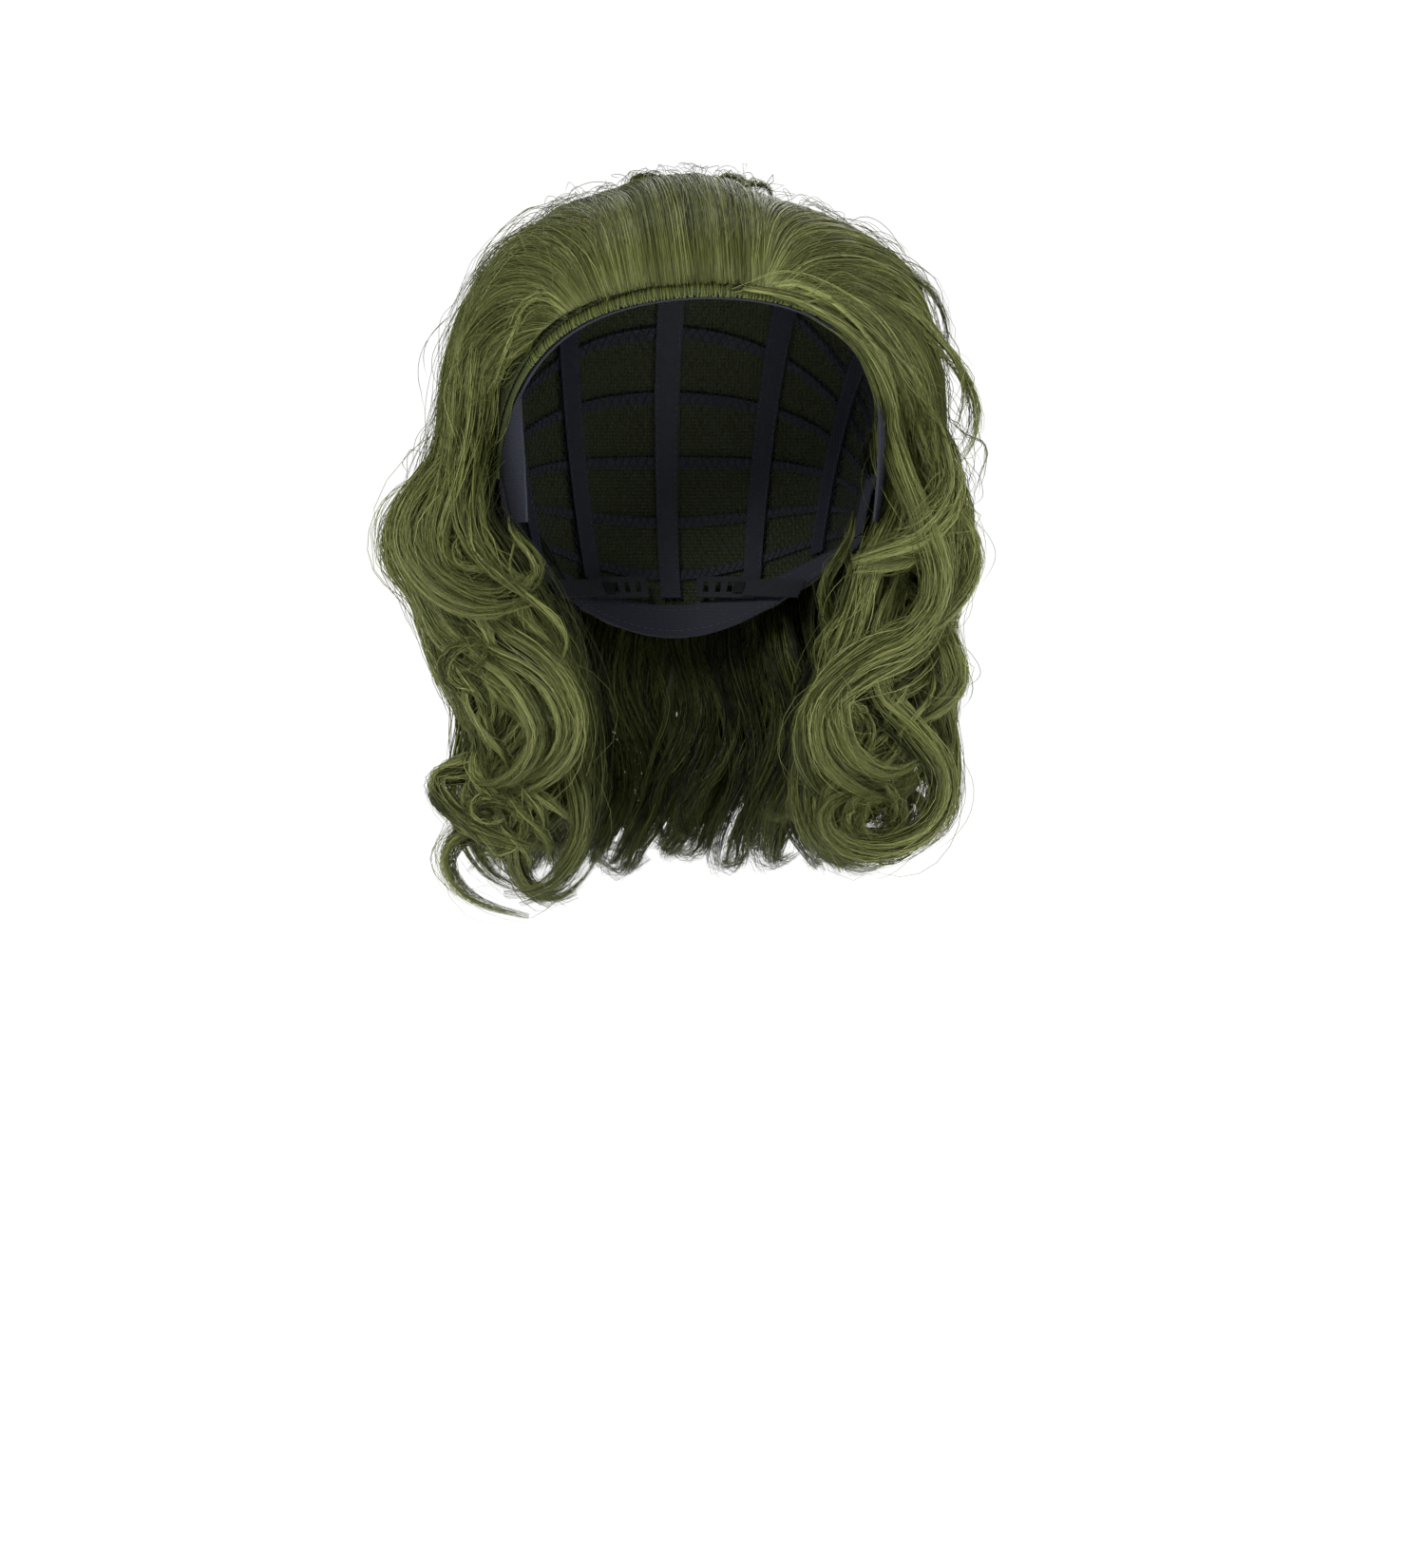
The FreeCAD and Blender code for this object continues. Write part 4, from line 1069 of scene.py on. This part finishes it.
def fabric(name, colour, roughness, grain, depth):
    """A knitted cloth: its weave is a bump of two crossed waves with a little unevenness."""
    material, shader = principled(name, colour, roughness, Specular_IOR_Level=0.25)
    tree = material.node_tree
    place = tree.nodes.new("ShaderNodeTexCoord")
    waves = []
    for direction in ("X", "Z"):
        wave = tree.nodes.new("ShaderNodeTexWave")
        wave.bands_direction = direction
        wave.inputs["Scale"].default_value = grain
        wave.inputs["Distortion"].default_value = WEAVE_UNEVENNESS
        tree.links.new(place.outputs["Object"], wave.inputs["Vector"])
        waves.append(wave)
    mix = tree.nodes.new("ShaderNodeMath")
    mix.operation = "MULTIPLY"
    tree.links.new(waves[0].outputs["Fac"], mix.inputs[0])
    tree.links.new(waves[1].outputs["Fac"], mix.inputs[1])
    bump = tree.nodes.new("ShaderNodeBump")
    bump.inputs["Distance"].default_value = depth
    bump.inputs["Strength"].default_value = WEAVE_STRENGTH
    tree.links.new(mix.outputs[0], bump.inputs["Height"])
    tree.links.new(bump.outputs["Normal"], shader.inputs["Normal"])
    return material


NAVY = (0.0145, 0.0165, 0.024)
cap_materials = {
    "ribbon": fabric("ribbon_satin", (0.012, 0.0135, 0.020), 0.5, 380, 0.0003),
    "weft": fabric("weft_tape", (0.016, 0.018, 0.024), 0.75, 300, 0.0003),
    "net": principled("net_thread", (0.012, 0.0135, 0.019), 0.65, Specular_IOR_Level=0.25)[0],
    "band": fabric("band_jersey", NAVY, 0.8, 260, 0.0003),
    "hairline": fabric("hairline_cloth", (0.035, 0.045, 0.012), 0.8, 320, 0.0003),
    "elastic": fabric("elastic_webbing", (0.010, 0.011, 0.014), 0.7, 420, 0.0004),
    "hook": principled("hook_plastic", (0.006, 0.006, 0.007), 0.3, Specular_IOR_Level=0.5)[0],
    "tab": fabric("tab_mesh", (0.018, 0.020, 0.029), 0.75, 340, 0.0004),
    "stay": fabric("stay_cover", (0.014, 0.016, 0.022), 0.6, 300, 0.0002),
    "thread": principled("sewing_thread", (0.030, 0.034, 0.046), 0.5, Specular_IOR_Level=0.4)[0],
}
# The underlay is much darker than the strands' own tones: painted shade of the hair under them.
underlay_shade_material = fabric("hair_underlay", (0.020, 0.025, 0.006), 0.6, 220, 0.0006)
NODE_MATERIALS = (("cap_ribbon", "ribbon"), ("weft_track", "weft"), ("forehead_comfort_band", "band"),
                  ("hairline_band", "hairline"), ("nape_band", "band"), ("ear_binding", "band"),
                  ("ear_tab_stay", "stay"), ("ear_tab", "tab"), ("adjuster_hook", "hook"),
                  ("adjuster_strap", "elastic"), ("loop_tape", "elastic"))


def dress_nodes():
    """The first start of a name that fits gives a CAD node its material."""
    for name, node in nodes.items():
        for start, key in NODE_MATERIALS:
            if name.startswith(start):
                node.data.materials.clear()
                node.data.materials.append(cap_materials[key])
                break


def thread_object(name, paths, radius, material, sides=3):
    """Threads of one thickness as one mesh; the paths may differ in length."""
    points, faces, size = [], [[], []], 0
    for path in paths:
        p, walls, caps = tubes(path[None], np.full((1, len(path)), radius), sides)
        points.append(p)
        faces[0].append(walls + size)
        faces[1].append(caps + size)
        size += len(p)
    return new_object(name, np.concatenate(points), [np.concatenate(f) for f in faces], [material])


NET_SLANT, NET_THREADS, NET_SPREAD = 1.25, 128, 1.62
NET_HEIGHT, NET_WEAVE, NET_RADIUS = 1.72, 0.10, 0.17        # above the head, over and under, in mm


def net_threads():
    """The net of the cap: two sets of threads that cross at a slant."""
    paths = []
    for slant in (NET_SLANT, -NET_SLANT):
        for shift in np.linspace(-NET_SPREAD, NET_SPREAD, NET_THREADS):
            along = np.linspace(0.05, 0.965, 160)
            across = shift + slant * (along - 0.5)
            inside = np.abs(across) < 0.955
            if inside.sum() < 8:
                continue
            a, b = along[inside][0], along[inside][-1]
            t = np.linspace(a, b, max(6, int(60 * (b - a))))
            u = shift + slant * (t - 0.5)
            paths.append(cap_point(u, t, NET_HEIGHT + NET_WEAVE * np.sign(slant) * np.sin(t * 300)))
    return thread_object("cap_net_threads", paths, NET_RADIUS, cap_materials["net"])


STITCH_PITCH, STITCH_LENGTH = 3.0, 2.0
STITCH_HEIGHT, STITCH_RADIUS = 0.12, 0.13
STITCH_LIFT = np.array([0.25, 0.02, -0.04, 0.02, 0.25])     # a stitch dips at both its ends


def stitches():
    """Rows of short stitches on the inner faces of the ribbons and bands, and over the weft tracks."""
    paths = []

    def row(across, along):
        place = cap_point(across, along, np.full(len(across), STITCH_HEIGHT))
        run = np.concatenate([[0], np.cumsum(np.linalg.norm(np.diff(place, axis=0), axis=1))])
        for start in np.arange(1.0, run[-1] - STITCH_LENGTH, STITCH_PITCH):
            where = np.linspace(start, start + STITCH_LENGTH, len(STITCH_LIFT))
            bead = np.stack([np.interp(where, run, place[:, k]) for k in range(3)], -1)
            paths.append(bead + unit(bead - EAR_POINT) * STITCH_LIFT[:, None])

    t = np.linspace(0.09, 0.9, 120)
    for middle in (-0.62, -0.31, 0.0, 0.31, 0.62):
        for edge in (-0.028, 0.028):
            row(np.full(len(t), middle + edge), t)
    u = np.linspace(-0.86, 0.86, 160)
    for along in (0.014, 0.05, 0.94, 0.985):
        row(u, np.full(len(u), along))
    return thread_object("cap_stitches", paths, STITCH_RADIUS, cap_materials["thread"])


KNOTS, KNOT_RADIUS = 260, 0.24
# Round the band's front edge: along in cap coordinates, above the head in mm.
KNOT_STEPS = [(0.006, 2.0), (-0.001, 2.3), (-0.004, 2.9), (-0.001, 3.6), (0.008, 4.0), (0.022, 4.3)]


def hairline_knots():
    """Each pinch of hair is knotted round the front edge of the hairline band."""
    paths = []
    for u in np.linspace(-0.56, 0.72, KNOTS):
        u = u + random.normal(0, 0.001)
        lean = random.normal(0, 0.002)
        paths.append(np.array([cap_point(u + lean * i, t, o) for i, (t, o) in enumerate(KNOT_STEPS)]))
    return thread_object("hairline_knots", paths, KNOT_RADIUS, hair_tones[TONE_COUNT // 2], sides=4)


# ---------------------------------------------------------------- build
dress_nodes()
underlay_piece = underlay()
top_hair()
side_curls()
small_curls()
back_curls()
stray_hairs()
behind_ears()
behind_neck()

CAP_PIECES = {
    "top_centre": ["front_hair_centre", "crown_hair_centre", "back_hair_centre"],
    "top_right": ["front_hair_right", "crown_hair_right", "back_hair_right"],
    "top_left": ["front_hair_left", "crown_hair_left", "back_hair_left"],
}
LOCK_NODES = {
    "right_curls_front": ["right_lock_front"], "right_curls_middle": ["right_lock_middle"],
    "right_curls_rear": ["right_lock_rear"], "left_curls_front": ["left_lock_front"],
    "left_curls_middle": ["left_lock_middle"], "left_curls_rear": ["left_lock_rear"],
    "back_curls": [f"back_lock_{place}" for place in
                   ("outer_right", "inner_right", "centre", "inner_left", "outer_left")],
}

for name, parts in pieces.items():
    for number, part in enumerate(parts, 1):
        hair = part.make(f"{name}_{number}")
        if name.startswith("top"):
            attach(hair, "cap")
        else:
            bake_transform(hair)
        stands_for = CAP_PIECES.get(name, LOCK_NODES.get(name, []))
        if number == 1 and stands_for:
            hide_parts(*stands_for)

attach(underlay_piece, "cap")
net = net_threads()
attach(net, "cap")
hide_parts("crown_net")
sewn = stitches()
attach(sewn, "cap")
knots = hairline_knots()
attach(knots, "cap")
